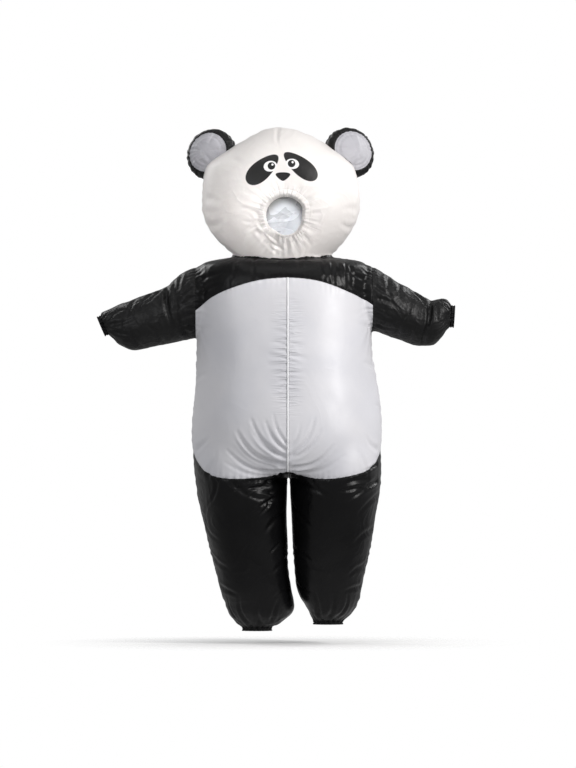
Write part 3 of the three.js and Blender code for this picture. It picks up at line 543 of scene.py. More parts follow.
def crotch_x(z):
    """Where the legs part, at these heights."""
    line = np.array(CROTCH_LINE[::-1], float) * MM
    return np.interp(z, line[:, 1], line[:, 0])


def out_of(rows, p):
    """About how far each point lies outside a form of level rings, in metres."""
    table = smooth_rows(rows, 8)[::-1]
    left, right, front, back = (np.interp(p[:, 2], table[:, 0], table[:, k]) for k in (1, 2, 3, 4))
    half = (right - left) / 2
    depth = np.where(p[:, 1] > 0, back, front)
    power = 2 / SQUARENESS
    across = np.abs((p[:, 0] - (left + right) / 2) / half) ** power
    q = (across + np.abs(p[:, 1] / depth) ** power) ** (1 / power)
    outside = (q - 1) * np.sqrt(half * depth)
    beyond = np.maximum(np.maximum(table[0, 0] - p[:, 2], p[:, 2] - table[-1, 0]), 0)
    return outside + beyond * 3


def window_polar(p):
    """Angle round the window, and distance beyond its edge."""
    dx, dz = p[:, 0] - WINDOW_X * MM, p[:, 2] - WINDOW_Z * MM
    angle = np.arctan2(dz, dx)
    return angle, np.hypot(dx, dz) - window_radius(angle)


def window_radius(angle):
    turn = (np.degrees(angle) % 360) / 30
    i = np.floor(turn).astype(int) % 12
    edge = np.array(WINDOW_EDGE, float) * MM
    t = step(0, 1, turn - np.floor(turn))
    return edge[i] + (edge[(i + 1) % 12] - edge[i]) * t


def puckers(distance, along, pitch, reach, height, seed, valley=2.2):
    """A seam pinched in, with short uneven puckers on both sides."""
    place = np.stack([along, 0 * along, 0 * along], 1)
    drift = 1.1 * soft_noise(place, pitch * 2.3, seed)
    strong = 0.65 + 0.45 * soft_noise(place, pitch * 1.6, seed + 1)
    wave = np.cos(2 * np.pi * along / pitch + 2.4 * drift) * strong
    fade = np.exp(-((distance / reach) ** 1.3))
    return height * MM * wave * fade - valley * MM * np.exp(-((distance / 0.007) ** 2))


def crease_height(p, normal, tree):
    """All the creases of the table."""
    total = np.zeros(len(p))
    look = {"F": (0, 1), "B": (0, -1), "L": (-1, 0), "R": (1, 0)}
    laid = [(view, *row) for view, rows in CREASES for row in rows]
    for index, (view, u1, v1, u2, v2, width, deep, *set_bend) in enumerate(laid):
        way = Vector((*look[view], 0))
        bend = set_bend[0] if set_bend else np.random.default_rng(500 + index).uniform(-0.12, 0.12)
        line = []
        for t in np.linspace(0, 1, 12):
            side = bend * math.sin(math.pi * t)
            u = (u1 + (u2 - u1) * t - (v2 - v1) * side) * MM
            v = (v1 + (v2 - v1) * t + (u2 - u1) * side) * MM
            start = Vector((u, 0, v)) if view in "FB" else Vector((0, u, v))
            hit = tree.ray_cast(start - way * 3, way)[0]
            if hit is not None:
                line.append(np.array(hit))
        if len(line) < 2:
            continue
        line = np.array(line)
        reach = 3.2 * width * MM
        near = np.all((p > line.min(0) - reach) & (p < line.max(0) + reach), 1)
        near &= normal[:, 0] * way.x + normal[:, 1] * way.y < 0.35
        q = p[near]
        best = np.full(len(q), 9.0)
        place = np.zeros(len(q))
        for k in range(len(line) - 1):
            a, ab = line[k], line[k + 1] - line[k]
            t = np.clip((q - a) @ ab / max(ab @ ab, 1e-12), 0, 1)
            d = np.linalg.norm(q - a - t[:, None] * ab, axis=1)
            closer = d < best
            best = np.where(closer, d, best)
            place = np.where(closer, (k + t) / (len(line) - 1), place)
        taper = step(-0.06, 0.1, place) * (1 - place) ** 0.6
        w = width * MM * (1 - 0.35 * place)
        trough = -np.exp(-np.abs(best / w) ** 1.5)
        shoulder = 0.38 * np.exp(-(((best - 1.9 * w) / (0.9 * w)) ** 2))
        total[near] += deep * MM * taper * (trough + shoulder)
    return total


def zip_puckers(p, normal):
    """Short sideways gathers on both edges of the zip, uneven in length, depth and spacing."""
    total = np.zeros(len(p))
    front = (normal[:, 1] < 0.1) & (np.abs(p[:, 0] - ZIP_X * MM) < 0.1) & (p[:, 2] < -0.06)
    q = p[front]
    add = np.zeros(len(q))
    rng = np.random.default_rng(41)
    for side in (-1, 1):
        z = -72.0 - 7 * (side > 0)
        while z > -740:
            middle = 0.06 + 0.94 * math.exp(-(((z + 350) / 140) ** 2))
            length = rng.uniform(40, 84) * (0.6 + 0.4 * middle) * MM
            deep = rng.uniform(2.2, 6.2) * middle * (1 if side < 0 else 0.7) * MM
            tilt = rng.uniform(-0.3, 0.22)
            x = (q[:, 0] - ZIP_X * MM) * side
            dz = q[:, 2] - z * MM - tilt * x
            w = (5.6 + 0.05 * x / MM) * MM
            along = step(0.002, 0.008, x) * np.clip(1 - x / length, 0, 1) ** 0.8
            add += -deep * along * np.exp(-np.abs(dz / w) ** 1.6)
            add += 0.45 * deep * along * np.exp(-(((np.abs(dz) - 2 * w) / w) ** 2))
            z -= rng.uniform(16, 32)
    total[front] = add
    return total


def along_arm(p, side):
    """Distance from the arm-hole seam, and length round it."""
    x = RIGHT_ARMHOLE_X if side < 0 else LEFT_ARMHOLE_X
    angle = np.arctan2(p[:, 2] - ARM_Z * MM, p[:, 1])
    return np.abs(p[:, 0] - x * MM), angle * ARM_ROUND * MM


def round_the_neck(p):
    return np.arctan2(p[:, 1], p[:, 0] - NECK_X * MM) * NECK_ROUND * MM


def mouth_frame(name):
    """Middle, across, other, axis and half sizes of a limb's open end."""
    (x1, z1), (x2, z2), deep, gathers = MOUTHS[name]
    a, b = np.array([x1, 0, z1]) * MM, np.array([x2, 0, z2]) * MM
    middle = (a + b) / 2
    across = (a - b) / np.linalg.norm(a - b)
    other = np.array([0.0, 1.0, 0.0])
    axis = np.cross(across, other)
    body = np.array([0.0, 0.0, -0.15]) if "wrist" in name else np.array([middle[0], 0, -0.7])
    if axis @ (body - middle) > 0:
        axis = -axis
    return middle, across, other, axis, np.linalg.norm(a - b) / 2, deep * MM, gathers


def mouth_gathers(gathers, angle):
    """The small uneven waves of a limb's gathered end, round its mouth."""
    return 2.2 * MM * np.cos(gathers * angle) * (1 + 0.35 * soft_noise(on_ring(angle), 0.4, 37))


def skin_height(p, normal, tree):
    """How far each point of the skin stands out from the plain form."""
    x, y, z = p.T
    on_head = out_of(HEAD, p) < 0.004
    on_head &= z > 0.0
    arm = ((x < RIGHT_ARMHOLE_X * MM) & (z > RIGHT_ARMHOLE_LOW * MM) & ~on_head) | (
        (x > LEFT_ARMHOLE_X * MM) & (z > LEFT_ARMHOLE_LOW * MM) & ~on_head
    )
    yoke = (z > line_at(YOKE_EDGE, x)) & ~on_head & ~arm
    leg = (z < line_at(BELLY_EDGE, x)) & ~on_head & ~arm
    h = 2.6 * MM * soft_noise(p, 0.16, 1) + 1.0 * MM * soft_noise(p, 0.07, 2)
    h += np.where(leg | yoke, 0.8, np.where(arm, 1.7, 0.1)) * MM * (ridges(p, 0.085, 3) - 0.2)
    h += np.where(arm, 1.4, 0.1) * MM * (ridges(p, 0.045, 4) - 0.2)
    upright = 0.2 + 0.9 * step(0.06, 0.16, x) * (y < 0)
    h += np.where(yoke, upright, 0) * MM * (ridges(p, (0.03, 0.09, 0.14), 5) - 0.2)
    # seams
    side = np.abs(y - SIDE_SEAM_Y * MM)
    h += puckers(side, z, 0.034, 0.034, 1.6, 11, 1.2)
    neck = np.maximum(np.maximum(out_of(HEAD, p), z - NECK_Z * MM), 0)
    h += np.where(z < 0.14, puckers(neck, round_the_neck(p), 0.024, 0.03, 1.1, 13, 1.6), 0)
    for table, seed, height in ((YOKE_EDGE, 15, 1.1), (BELLY_EDGE, 17, 1.7)):
        gap, _ = edge_gap(table, p)
        h += np.where(on_head | arm, 0, puckers(gap, x + np.sign(y) * 0.4, 0.023, 0.02, height, seed))
    for sign in (-1, 1):
        gap, along = along_arm(p, sign)
        low = on_head | (z < ARMHOLE_END_Z * MM)
        h += np.where(low, 0, puckers(gap, along, 0.022, 0.03, 2.2, 19 + sign, 2.6))
    # window
    angle, beyond = window_polar(p)
    front = (normal[:, 1] < 0) & (z > 0.02)
    outer = np.maximum(beyond, 0)
    h += np.where(front, -WINDOW_DIMPLE * MM * np.exp(-((outer / (WINDOW_REACH * MM)) ** 2)), 0)
    ring = on_ring(angle)
    wave = np.cos(30 * angle + 3 * soft_noise(ring, 0.5, 31)) * (0.8 + 0.5 * soft_noise(ring, 0.35, 32))
    wave *= 0.95 + 0.6 * np.cos(angle - math.radians(225))
    reach = (30 + 14 * soft_noise(ring, 0.4, 33)) * MM
    h += np.where(front, 2.4 * MM * wave * np.exp(-np.maximum(beyond - 0.02, 0) / reach), 0)
    # mouths
    for name in MOUTHS:
        middle, across, other, axis, *_, gathers = mouth_frame(name)
        away = p - middle
        turn = np.arctan2(away @ other, away @ across)
        back = np.maximum(-(away @ axis), 0)
        near = np.linalg.norm(away, axis=1) < 0.2
        h += np.where(near, mouth_gathers(gathers, turn) * np.exp(-back / (28 * MM)), 0)
    h += crease_height(p, normal, tree) + zip_puckers(p, normal)
    # the gap between the legs stays open
    inside_leg = np.exp(-(((x - crotch_x(z)) / 0.034) ** 2)) * step(-0.79, -0.84, z)
    return h - inside_leg * (np.maximum(h, 0) - 0.6 * MM)


# Panels
def cut(part, field):
    """The part of a triangle mesh where the field is above 0. Each point has its row of values."""
    rows, faces = part
    inside = field > 0
    count = inside[faces].sum(1)
    n = len(rows)
    ends = np.concatenate([faces[:, [0, 1]], faces[:, [1, 2]], faces[:, [2, 0]]])
    low, high = ends.min(1).astype(np.int64), ends.max(1).astype(np.int64)
    keys = np.unique((low * n + high)[inside[low] != inside[high]])
    a, b = keys // n, keys % n
    share = field[a] / (field[a] - field[b])
    new_rows = np.vstack([rows, rows[a] + (rows[b] - rows[a]) * share[:, None]])

    def middle(i, j):
        key = np.minimum(i, j).astype(np.int64) * n + np.maximum(i, j)
        return n + np.searchsorted(keys, key)

    out = [faces[count == 3]]
    for wanted, odd in ((1, True), (2, False)):
        some = faces[count == wanted]
        first = np.argmax(inside[some] == odd, 1)
        k = np.arange(len(some))
        p, q, r = some[k, first], some[k, (first + 1) % 3], some[k, (first + 2) % 3]
        pq, rp = middle(p, q), middle(r, p)
        if odd:
            out.append(np.stack([p, pq, rp], 1))
        else:
            out += [np.stack([pq, q, r], 1), np.stack([pq, r, rp], 1)]
    faces = np.concatenate(out)
    used, flat = np.unique(faces, return_inverse=True)
    return new_rows[used], flat.reshape(-1, 3)


def rest(part):
    """Where each point of the part was before its folds."""
    return part[0][:, 3:6]


def wall(name, part, seam=None, along=None, uv=None):
    """A thin cloth piece from a triangle mesh, with its seam distance and pattern place."""
    rows, faces = part
    obj = mesh_object(name, rows[:, :3], faces)
    mesh = obj.data
    p = rest(part) if rows.shape[1] >= 6 else rows
    for label, values in (("seam", seam), ("along", along)):
        layer = mesh.attributes.new(label, "FLOAT", "POINT")
        values = values if values is not None else np.full(len(rows), NO_SEAM)
        layer.data.foreach_set("value", values.astype(np.float32))
    uv = uv if uv is not None else np.stack([p[:, 0], p[:, 2]], 1)
    loops = np.zeros(len(mesh.loops), np.int32)
    mesh.loops.foreach_get("vertex_index", loops)
    mesh.uv_layers.new(name="cloth").data.foreach_set("uv", uv[loops].astype(np.float32).ravel())
    mesh.shade_smooth()
    solid = obj.modifiers.new("cloth", "SOLIDIFY")
    solid.thickness = CLOTH
    solid.offset = -1
    apply_all(obj)
    return obj


def round_the_form(p, rows):
    """Length round a level form, for the weave."""
    table = smooth_rows(rows, 4)[::-1]
    middle = np.interp(p[:, 2], table[:, 0], (table[:, 1] + table[:, 2]) / 2)
    return np.arctan2(p[:, 0] - middle, -p[:, 1]) * 0.3


# Materials
def group(name, inputs, outputs):
    """An empty shader group with named sockets."""
    tree = bpy.data.node_groups.new(name, "ShaderNodeTree")
    for label, kind, value in inputs:
        socket = tree.interface.new_socket(label, in_out="INPUT", socket_type=kind)
        if value is not None:
            socket.default_value = value
    for label, kind in outputs:
        tree.interface.new_socket(label, in_out="OUTPUT", socket_type=kind)
    return tree, tree.nodes.new("NodeGroupInput"), tree.nodes.new("NodeGroupOutput")


def node(tree, kind, inputs=(), **settings):
    """Adds a node, with its settings and its inputs: a value, or a socket to link."""
    made = tree.nodes.new(kind)
    for key, value in settings.items():
        setattr(made, key, value)
    for key, value in dict(inputs).items():
        if isinstance(value, bpy.types.NodeSocket):
            tree.links.new(value, made.inputs[key])
        else:
            made.inputs[key].default_value = value
    return made


def math_node(tree, operation, a, b=0.0, c=0.0, clamp=False):
    """A sum of one to three values or sockets, and its result's socket."""
    made = node(tree, "ShaderNodeMath", {0: a, 1: b, 2: c}, operation=operation)
    made.use_clamp = clamp
    return made.outputs[0]


def vector_node(tree, operation, a, b=(0.0, 0.0, 0.0)):
    made = node(tree, "ShaderNodeVectorMath", {0: a, 1: b}, operation=operation)
    return made.outputs["Value" if operation == "LENGTH" else "Vector"]


def band(tree, value, low, high, to_low=0.0, to_high=1.0):
    """Goes smoothly from one value to another between two limits."""
    made = node(
        tree,
        "ShaderNodeMapRange",
        {"Value": value, "From Min": low, "From Max": high, "To Min": to_low, "To Max": to_high},
        interpolation_type="SMOOTHSTEP",
    )
    return made.outputs["Result"]


def mix_colour(tree, share, a, b):
    return node(tree, "ShaderNodeMix", {0: share, 6: a, 7: b}, data_type="RGBA").outputs[2]


def weave_group():
    """Plain weave: fine threads over and under, with a few slubs."""
    tree, start, end = group(
        "Plain weave",
        [("Cloth", "NodeSocketVector", None), ("Threads", "NodeSocketFloat", 2600.0)],
        [("Height", "NodeSocketFloat"), ("Slub", "NodeSocketFloat")],
    )
    scaled = node(tree, "ShaderNodeVectorMath", {0: start.outputs["Cloth"]}, operation="SCALE")
    tree.links.new(start.outputs["Threads"], scaled.inputs["Scale"])
    parts = node(tree, "ShaderNodeSeparateXYZ", {0: scaled.outputs[0]})
    warp = math_node(tree, "SINE", parts.outputs[0])
    weft = math_node(tree, "SINE", parts.outputs[1])
    height = math_node(tree, "MULTIPLY_ADD", math_node(tree, "MULTIPLY", warp, weft), 0.5, 0.5)
    long_way = {"Vector": start.outputs["Cloth"], "Scale": (900.0, 14.0, 1.0)}
    streak = node(tree, "ShaderNodeMapping", long_way)
    slub = node(tree, "ShaderNodeTexNoise", {"Vector": streak.outputs[0], "Scale": 1.0, "Detail": 2.0})
    tree.links.new(height, end.inputs["Height"])
    tree.links.new(slub.outputs["Fac"], end.inputs["Slub"])
    return tree


def crests(tree, place, scale, detail, rough, twist):
    """Sharp crests where a noise crosses its middle, from 0 to 1."""
    values = {"Vector": place, "Scale": scale, "Detail": detail, "Roughness": rough}
    noise = node(tree, "ShaderNodeTexNoise", values | {"Distortion": twist})
    away = math_node(tree, "ABSOLUTE", math_node(tree, "SUBTRACT", noise.outputs["Fac"], 0.5))
    return math_node(tree, "SUBTRACT", 1.0, math_node(tree, "MULTIPLY", away, 5.0), clamp=True)


def crinkle_group():
    """Sharp-edged crinkles of thin coated cloth, in two sizes."""
    tree, start, end = group(
        "Crinkle",
        [
            ("Place", "NodeSocketVector", None),
            ("Scale", "NodeSocketFloat", 12.0),
            ("Fine", "NodeSocketFloat", 0.5),
        ],
        [("Height", "NodeSocketFloat"), ("Crest", "NodeSocketFloat")],
    )
    place, scale = start.outputs["Place"], start.outputs["Scale"]

    def folds(times, seed, twist):
        size = math_node(tree, "MULTIPLY", scale, times)
        moved = node(tree, "ShaderNodeMapping", {"Vector": place, "Location": (seed, seed * 0.7, 0.0)})
        return crests(tree, moved.outputs[0], size, 1.5, 0.45, twist)

    large = math_node(tree, "POWER", folds(1.0, 0.0, 1.2), 1.6)
    small = math_node(tree, "POWER", folds(2.7, 3.1, 0.8), 1.8)
    height = math_node(tree, "MULTIPLY_ADD", small, start.outputs["Fine"], large)
    tree.links.new(height, end.inputs["Height"])
    tree.links.new(large, end.inputs["Crest"])
    return tree


def gather_group(name, round_x=None, round_z=None):
    """Fine gathers of thin cloth: level ones beside the zip, or radiating ones round a place."""
    inputs, outputs = [("Place", "NodeSocketVector", None)], [("Height", "NodeSocketFloat")]
    tree, start, end = group(name, inputs, outputs)
    place = start.outputs["Place"]
    parts = node(tree, "ShaderNodeSeparateXYZ", {0: place})
    if round_x is None:
        laid = node(tree, "ShaderNodeMapping", {"Vector": place, "Scale": (9.0, 4.0, 74.0)})
        away = math_node(tree, "ABSOLUTE", math_node(tree, "SUBTRACT", parts.outputs["X"], ZIP_X * MM))
        high = math_node(tree, "ABSOLUTE", math_node(tree, "ADD", parts.outputs["Z"], 0.35))
        share = band(tree, away, 0.006, 0.075, 1.0, 0.0)
        share = math_node(tree, "MULTIPLY", share, band(tree, high, 0.1, 0.26, 1.0, 0.0))
    else:
        across = math_node(tree, "SUBTRACT", parts.outputs["X"], round_x)
        up = math_node(tree, "SUBTRACT", parts.outputs["Z"], round_z)
        flat = node(tree, "ShaderNodeCombineXYZ", {"X": across, "Y": 0.0, "Z": up})
        reach = vector_node(tree, "LENGTH", flat.outputs[0])
        out = math_node(tree, "MULTIPLY", reach, 9.0)
        way = vector_node(tree, "NORMALIZE", flat.outputs[0])
        ends = node(tree, "ShaderNodeSeparateXYZ", {0: way})
        around = node(
            tree, "ShaderNodeCombineXYZ", {"X": ends.outputs["X"], "Y": out, "Z": ends.outputs["Z"]}
        )
        laid = node(tree, "ShaderNodeMapping", {"Vector": around.outputs[0], "Scale": (6.5, 1.0, 6.5)})
        share = band(tree, reach, 0.085, 0.16, 1.0, 0.0)
    front = math_node(tree, "LESS_THAN", parts.outputs["Y"], 0.0)
    crest = crests(tree, laid.outputs[0], 1.0, 1.0, 0.4, 0.4)
    crest = math_node(tree, "MULTIPLY", math_node(tree, "POWER", crest, 1.5), share)
    tree.links.new(math_node(tree, "MULTIPLY", crest, front), end.inputs["Height"])
    return tree


def stitch_group():
    """A row of lockstitch a little way in from the seam, its groove, and a mask of painted shade along
    the seam itself.
    """
    tree, start, end = group(
        "Seam stitching",
        [
            ("Seam", "NodeSocketFloat", 0.1),
            ("Along", "NodeSocketFloat", 0.0),
            ("Inset", "NodeSocketFloat", 0.004),
            ("Pitch", "NodeSocketFloat", 0.0032),
        ],
        [("Thread", "NodeSocketFloat"), ("Height", "NodeSocketFloat"), ("Painted seam shade", "NodeSocketFloat")],
    )
    from_row = math_node(tree, "SUBTRACT", start.outputs["Seam"], start.outputs["Inset"])
    away = math_node(tree, "ABSOLUTE", from_row)
    row = band(tree, away, 0.0003, 0.0006, 1.0, 0.0)
    steps = math_node(tree, "DIVIDE", start.outputs["Along"], start.outputs["Pitch"])
    dash = math_node(tree, "LESS_THAN", math_node(tree, "FRACT", steps), 0.74)
    thread = math_node(tree, "MULTIPLY", row, dash)
    # painted shade: 1 at the seam, fading to 0 five millimetres away, to darken the colour where the
    # seam's groove lies in shade
    seam_shade = band(tree, start.outputs["Seam"], 0.0, 0.005, 1.0, 0.0)
    groove = band(tree, away, 0.0, 0.0025, -1.0, 0.0)
    tree.links.new(thread, end.inputs["Thread"])
    tree.links.new(math_node(tree, "ADD", thread, groove), end.inputs["Height"])
    tree.links.new(seam_shade, end.inputs["Painted seam shade"])
    return tree


def handling_group():
    """Faint uneven tone of used cloth, large and soft."""
    tree, start, end = group(
        "Handling",
        [("Place", "NodeSocketVector", None), ("Scale", "NodeSocketFloat", 4.0)],
        [("Tone", "NodeSocketFloat"), ("Speck", "NodeSocketFloat")],
    )
    tone = node(
        tree,
        "ShaderNodeTexNoise",
        {"Vector": start.outputs["Place"], "Scale": start.outputs["Scale"], "Detail": 3.0},
    )
    speck = node(
        tree,
        "ShaderNodeTexNoise",
        {"Vector": start.outputs["Place"], "Scale": 160.0, "Detail": 2.0},
    )
    tree.links.new(tone.outputs["Fac"], end.inputs["Tone"])
    tree.links.new(speck.outputs["Fac"], end.inputs["Speck"])
    return tree


WEAVE, CRINKLE, STITCH, HANDLING = weave_group(), crinkle_group(), stitch_group(), handling_group()
ZIP_GATHERS = gather_group("Gathers beside the zip")
WINDOW_GATHERS = gather_group("Gathers round the window", WINDOW_X * MM, WINDOW_Z * MM)


def use(tree, group_tree, inputs):
    """Places a shared group in a material, with the material's own values."""
    return node(tree, "ShaderNodeGroup", inputs, node_tree=group_tree)


def bumped(tree, shader, height):
    """Feeds a height in metres to the shader's normal."""
    bump = node(tree, "ShaderNodeBump", {"Height": height, "Strength": 1.0, "Distance": 1.0})
    tree.links.new(bump.outputs[0], shader.inputs["Normal"])


def new_material(name, **plain):
    """A material with its shader, whose plain values are set on the shader's own sockets."""
    material = bpy.data.materials.new(name)
    material.use_nodes = True
    tree = material.node_tree
    shader = tree.nodes["Principled BSDF"]
    for key, value in plain.items():
        shader.inputs[key.replace("_", " ")].default_value = value
    return material, tree, shader


def cloth_material(
    name, colour, other, rough, crinkle, crinkle_size, fine, plain, thread, print_on=None, gathers=None
):
    """Thin coated taffeta: weave, crinkles, stitching, tone, sheen, and painted shade along the seams.
    """
    material, tree, shader = new_material(name, **plain)
    place = node(tree, "ShaderNodeTexCoord").outputs["Object"]
    flat = node(tree, "ShaderNodeUVMap", uv_map="cloth").outputs["UV"]
    seam = node(tree, "ShaderNodeAttribute", attribute_name="seam").outputs["Fac"]
    along = node(tree, "ShaderNodeAttribute", attribute_name="along").outputs["Fac"]
    weave = use(tree, WEAVE, {"Cloth": flat})
    folds = use(tree, CRINKLE, {"Place": place, "Scale": crinkle_size, "Fine": fine})
    stitch = use(tree, STITCH, {"Seam": seam, "Along": along})
    tone = use(tree, HANDLING, {"Place": place})
    base = mix_colour(tree, band(tree, tone.outputs["Tone"], 0.35, 0.65), colour, other)
    base = mix_colour(tree, math_node(tree, "MULTIPLY", weave.outputs["Slub"], 0.06), base, other)
    if print_on:
        base = print_on(tree, place, base)
    base = mix_colour(tree, math_node(tree, "MULTIPLY", stitch.outputs["Thread"], 0.8), base, thread)
    # painted shade along the seams: the colour goes towards 0.55 of the cloth's second colour within a
    # few millimetres of each seam
    shade = tuple(0.55 * v for v in other[:3]) + (1.0,)
    base = mix_colour(tree, math_node(tree, "MULTIPLY", stitch.outputs["Painted seam shade"], 0.22), base, shade)
    tree.links.new(base, shader.inputs["Base Color"])
    gloss = math_node(tree, "MULTIPLY_ADD", tone.outputs["Speck"], 0.1, rough - 0.05)
    gloss = math_node(tree, "MULTIPLY_ADD", folds.outputs["Crest"], -0.05, gloss)
    tree.links.new(gloss, shader.inputs["Roughness"])
    height = math_node(tree, "MULTIPLY", folds.outputs["Height"], crinkle)
    if gathers:
        gathered = use(tree, gathers, {"Place": place}).outputs["Height"]
        height = math_node(tree, "MULTIPLY_ADD", gathered, 0.0022, height)
    height = math_node(tree, "MULTIPLY_ADD", stitch.outputs["Height"], 0.0002, height)
    height = math_node(tree, "MULTIPLY_ADD", weave.outputs["Height"], 0.000012, height)
    bumped(tree, shader, height)
    return material


# Print on the head. Places and half sizes in millimetres, turn in degrees, and how much
# fuller the +X end is.
PATCHES = [(-91, 357, 76, 36, -42, -0.22), (50, 369, 77, 33, 39, 0.22)]
EYES = [(-62, 368, 25, 20, -12, 0.0), (20, 377, 25, 19, 10, 0.0)]
PUPILS = [(-58, 369, 14, 14, 0, 0.0), (17, 378, 14, 14, 0, 0.0)]
GLINTS = [(-54, 374, 4, 4, 0, 0.0), (21, 383, 4, 4, 0, 0.0)]
NOSE = (-15, 329, 32, 16)


def egg(tree, place, x, z, half_x, half_z, turn, fuller):
    """1 inside an egg drawn on the front of the head."""
    laid = node(
        tree,
        "ShaderNodeMapping",
        {
            "Vector": place,
            "Location": (x * MM, 0.0, z * MM),
            "Rotation": (0.0, math.radians(turn), 0.0),
            "Scale": (half_x * MM, 1.0, half_z * MM),
        },
        vector_type="TEXTURE",
    )
    parts = node(tree, "ShaderNodeSeparateXYZ", {0: laid.outputs[0]})
    u = parts.outputs["X"]
    width = math_node(tree, "MULTIPLY_ADD", u, fuller, 1.0)
    v = math_node(tree, "DIVIDE", parts.outputs["Z"], width)
    radius = math_node(tree, "MULTIPLY_ADD", u, u, math_node(tree, "MULTIPLY", v, v))
    return band(tree, radius, 0.96, 1.04, 1.0, 0.0)


def nose_mask(tree, place):
    """1 inside a rounded triangle, flat at the top."""
    x, z, half_x, half_z = NOSE
    laid = node(
        tree,
        "ShaderNodeMapping",
        {"Vector": place, "Location": (x * MM, 0.0, z * MM), "Scale": (half_x * MM, 1.0, half_z * MM)},
        vector_type="TEXTURE",
    )
    parts = node(tree, "ShaderNodeSeparateXYZ", {0: laid.outputs[0]})
    v = parts.outputs["Z"]
    width = math_node(tree, "MULTIPLY_ADD", v, 0.42, 0.72)
    u = math_node(tree, "ABSOLUTE", math_node(tree, "DIVIDE", parts.outputs["X"], width))
    sides = math_node(tree, "POWER", u, 2.4)
    ends = math_node(tree, "POWER", math_node(tree, "ABSOLUTE", v), 2.4)
    return band(tree, math_node(tree, "ADD", sides, ends), 0.95, 1.05, 1.0, 0.0)


def face_print(tree, place, base):
    """Eye patches, plain round eyes and nose, printed on the head's front."""
    ink, white = (0.006, 0.0055, 0.0055, 1.0), (0.87, 0.86, 0.85, 1.0)
    front = math_node(
        tree, "LESS_THAN", node(tree, "ShaderNodeSeparateXYZ", {0: place}).outputs["Y"], 0.0
    )

    def laid_on(under, shapes, colour):
        mask = 0.0
        for shape in shapes:
            mask = math_node(tree, "MAXIMUM", egg(tree, place, *shape), mask)
        return mix_colour(tree, math_node(tree, "MULTIPLY", mask, front), under, colour)

    base = laid_on(base, PATCHES, ink)
    base = laid_on(base, EYES, white)
    base = laid_on(base, PUPILS, ink)
    base = laid_on(base, GLINTS, white)
    return mix_colour(tree, math_node(tree, "MULTIPLY", nose_mask(tree, place), front), base, ink)


WHITE_FINISH = {"Specular_IOR_Level": 0.4, "Sheen_Weight": 0.08, "Sheen_Roughness": 0.4}
BLACK_FINISH = {"Specular_IOR_Level": 0.17, "Sheen_Weight": 0.0}
SLEEVE_FINISH = {"Specular_IOR_Level": 0.27, "Sheen_Weight": 0.0}
head_cloth = cloth_material(
    "head_cloth", (0.87, 0.84, 0.82, 1), (0.82, 0.785, 0.765, 1), thread=(0.78, 0.75, 0.73, 1),
    rough=0.5, crinkle=0.0010, crinkle_size=9.0, fine=0.2, plain=WHITE_FINISH,
    print_on=face_print, gathers=WINDOW_GATHERS,
)
white_cloth = cloth_material(
    "white_cloth", (0.71, 0.705, 0.735, 1), (0.66, 0.66, 0.70, 1), thread=(0.72, 0.72, 0.76, 1),
    rough=0.44, crinkle=0.0002, crinkle_size=7.0, fine=0.3, plain=WHITE_FINISH,
    gathers=ZIP_GATHERS,
)
black_cloth = cloth_material(
    "black_cloth", (0.0045, 0.0045, 0.0048, 1), (0.007, 0.007, 0.0073, 1),
    thread=(0.014, 0.014, 0.015, 1),
    rough=0.45, crinkle=0.0014, crinkle_size=13.0, fine=0.4, plain=SLEEVE_FINISH,
)
smooth_black = cloth_material(
    "smooth_black_cloth", (0.0038, 0.0038, 0.0042, 1), (0.006, 0.006, 0.0064, 1),
    thread=(0.012, 0.012, 0.013, 1),
    rough=0.34, crinkle=0.0011, crinkle_size=7.0, fine=0.3, plain=BLACK_FINISH,
)
grey_cloth = cloth_material(
    "grey_cloth", (0.5, 0.495, 0.53, 1), (0.45, 0.445, 0.48, 1), thread=(0.35, 0.35, 0.38, 1),
    rough=0.46, crinkle=0.0010, crinkle_size=12.0, fine=0.3, plain=WHITE_FINISH,
)
cuff_cloth = cloth_material(
    "cuff_cloth", (0.006, 0.006, 0.0065, 1), (0.010, 0.010, 0.011, 1), thread=(0.02, 0.02, 0.021, 1),
    rough=0.5, crinkle=0.0012, crinkle_size=40.0, fine=0.5, plain=BLACK_FINISH,
)
zip_cloth = cloth_material(
    "zip_tape", (0.92, 0.92, 0.94, 1), (0.88, 0.88, 0.91, 1), thread=(0.88, 0.88, 0.9, 1),
    rough=0.5, crinkle=0.0002, crinkle_size=60.0, fine=0.5, plain=WHITE_FINISH,
)


def coil_material():
    material, tree, shader = new_material("zip_coil", Specular_IOR_Level=0.5)
    place = node(tree, "ShaderNodeTexCoord").outputs["Object"]
    tone = use(tree, HANDLING, {"Place": place, "Scale": 30.0})
    base = mix_colour(tree, tone.outputs["Tone"], (0.95, 0.95, 0.96, 1), (0.9, 0.9, 0.92, 1))
    tree.links.new(base, shader.inputs["Base Color"])
    gloss = math_node(tree, "MULTIPLY_ADD", tone.outputs["Speck"], 0.15, 0.24)
    tree.links.new(gloss, shader.inputs["Roughness"])
    return material


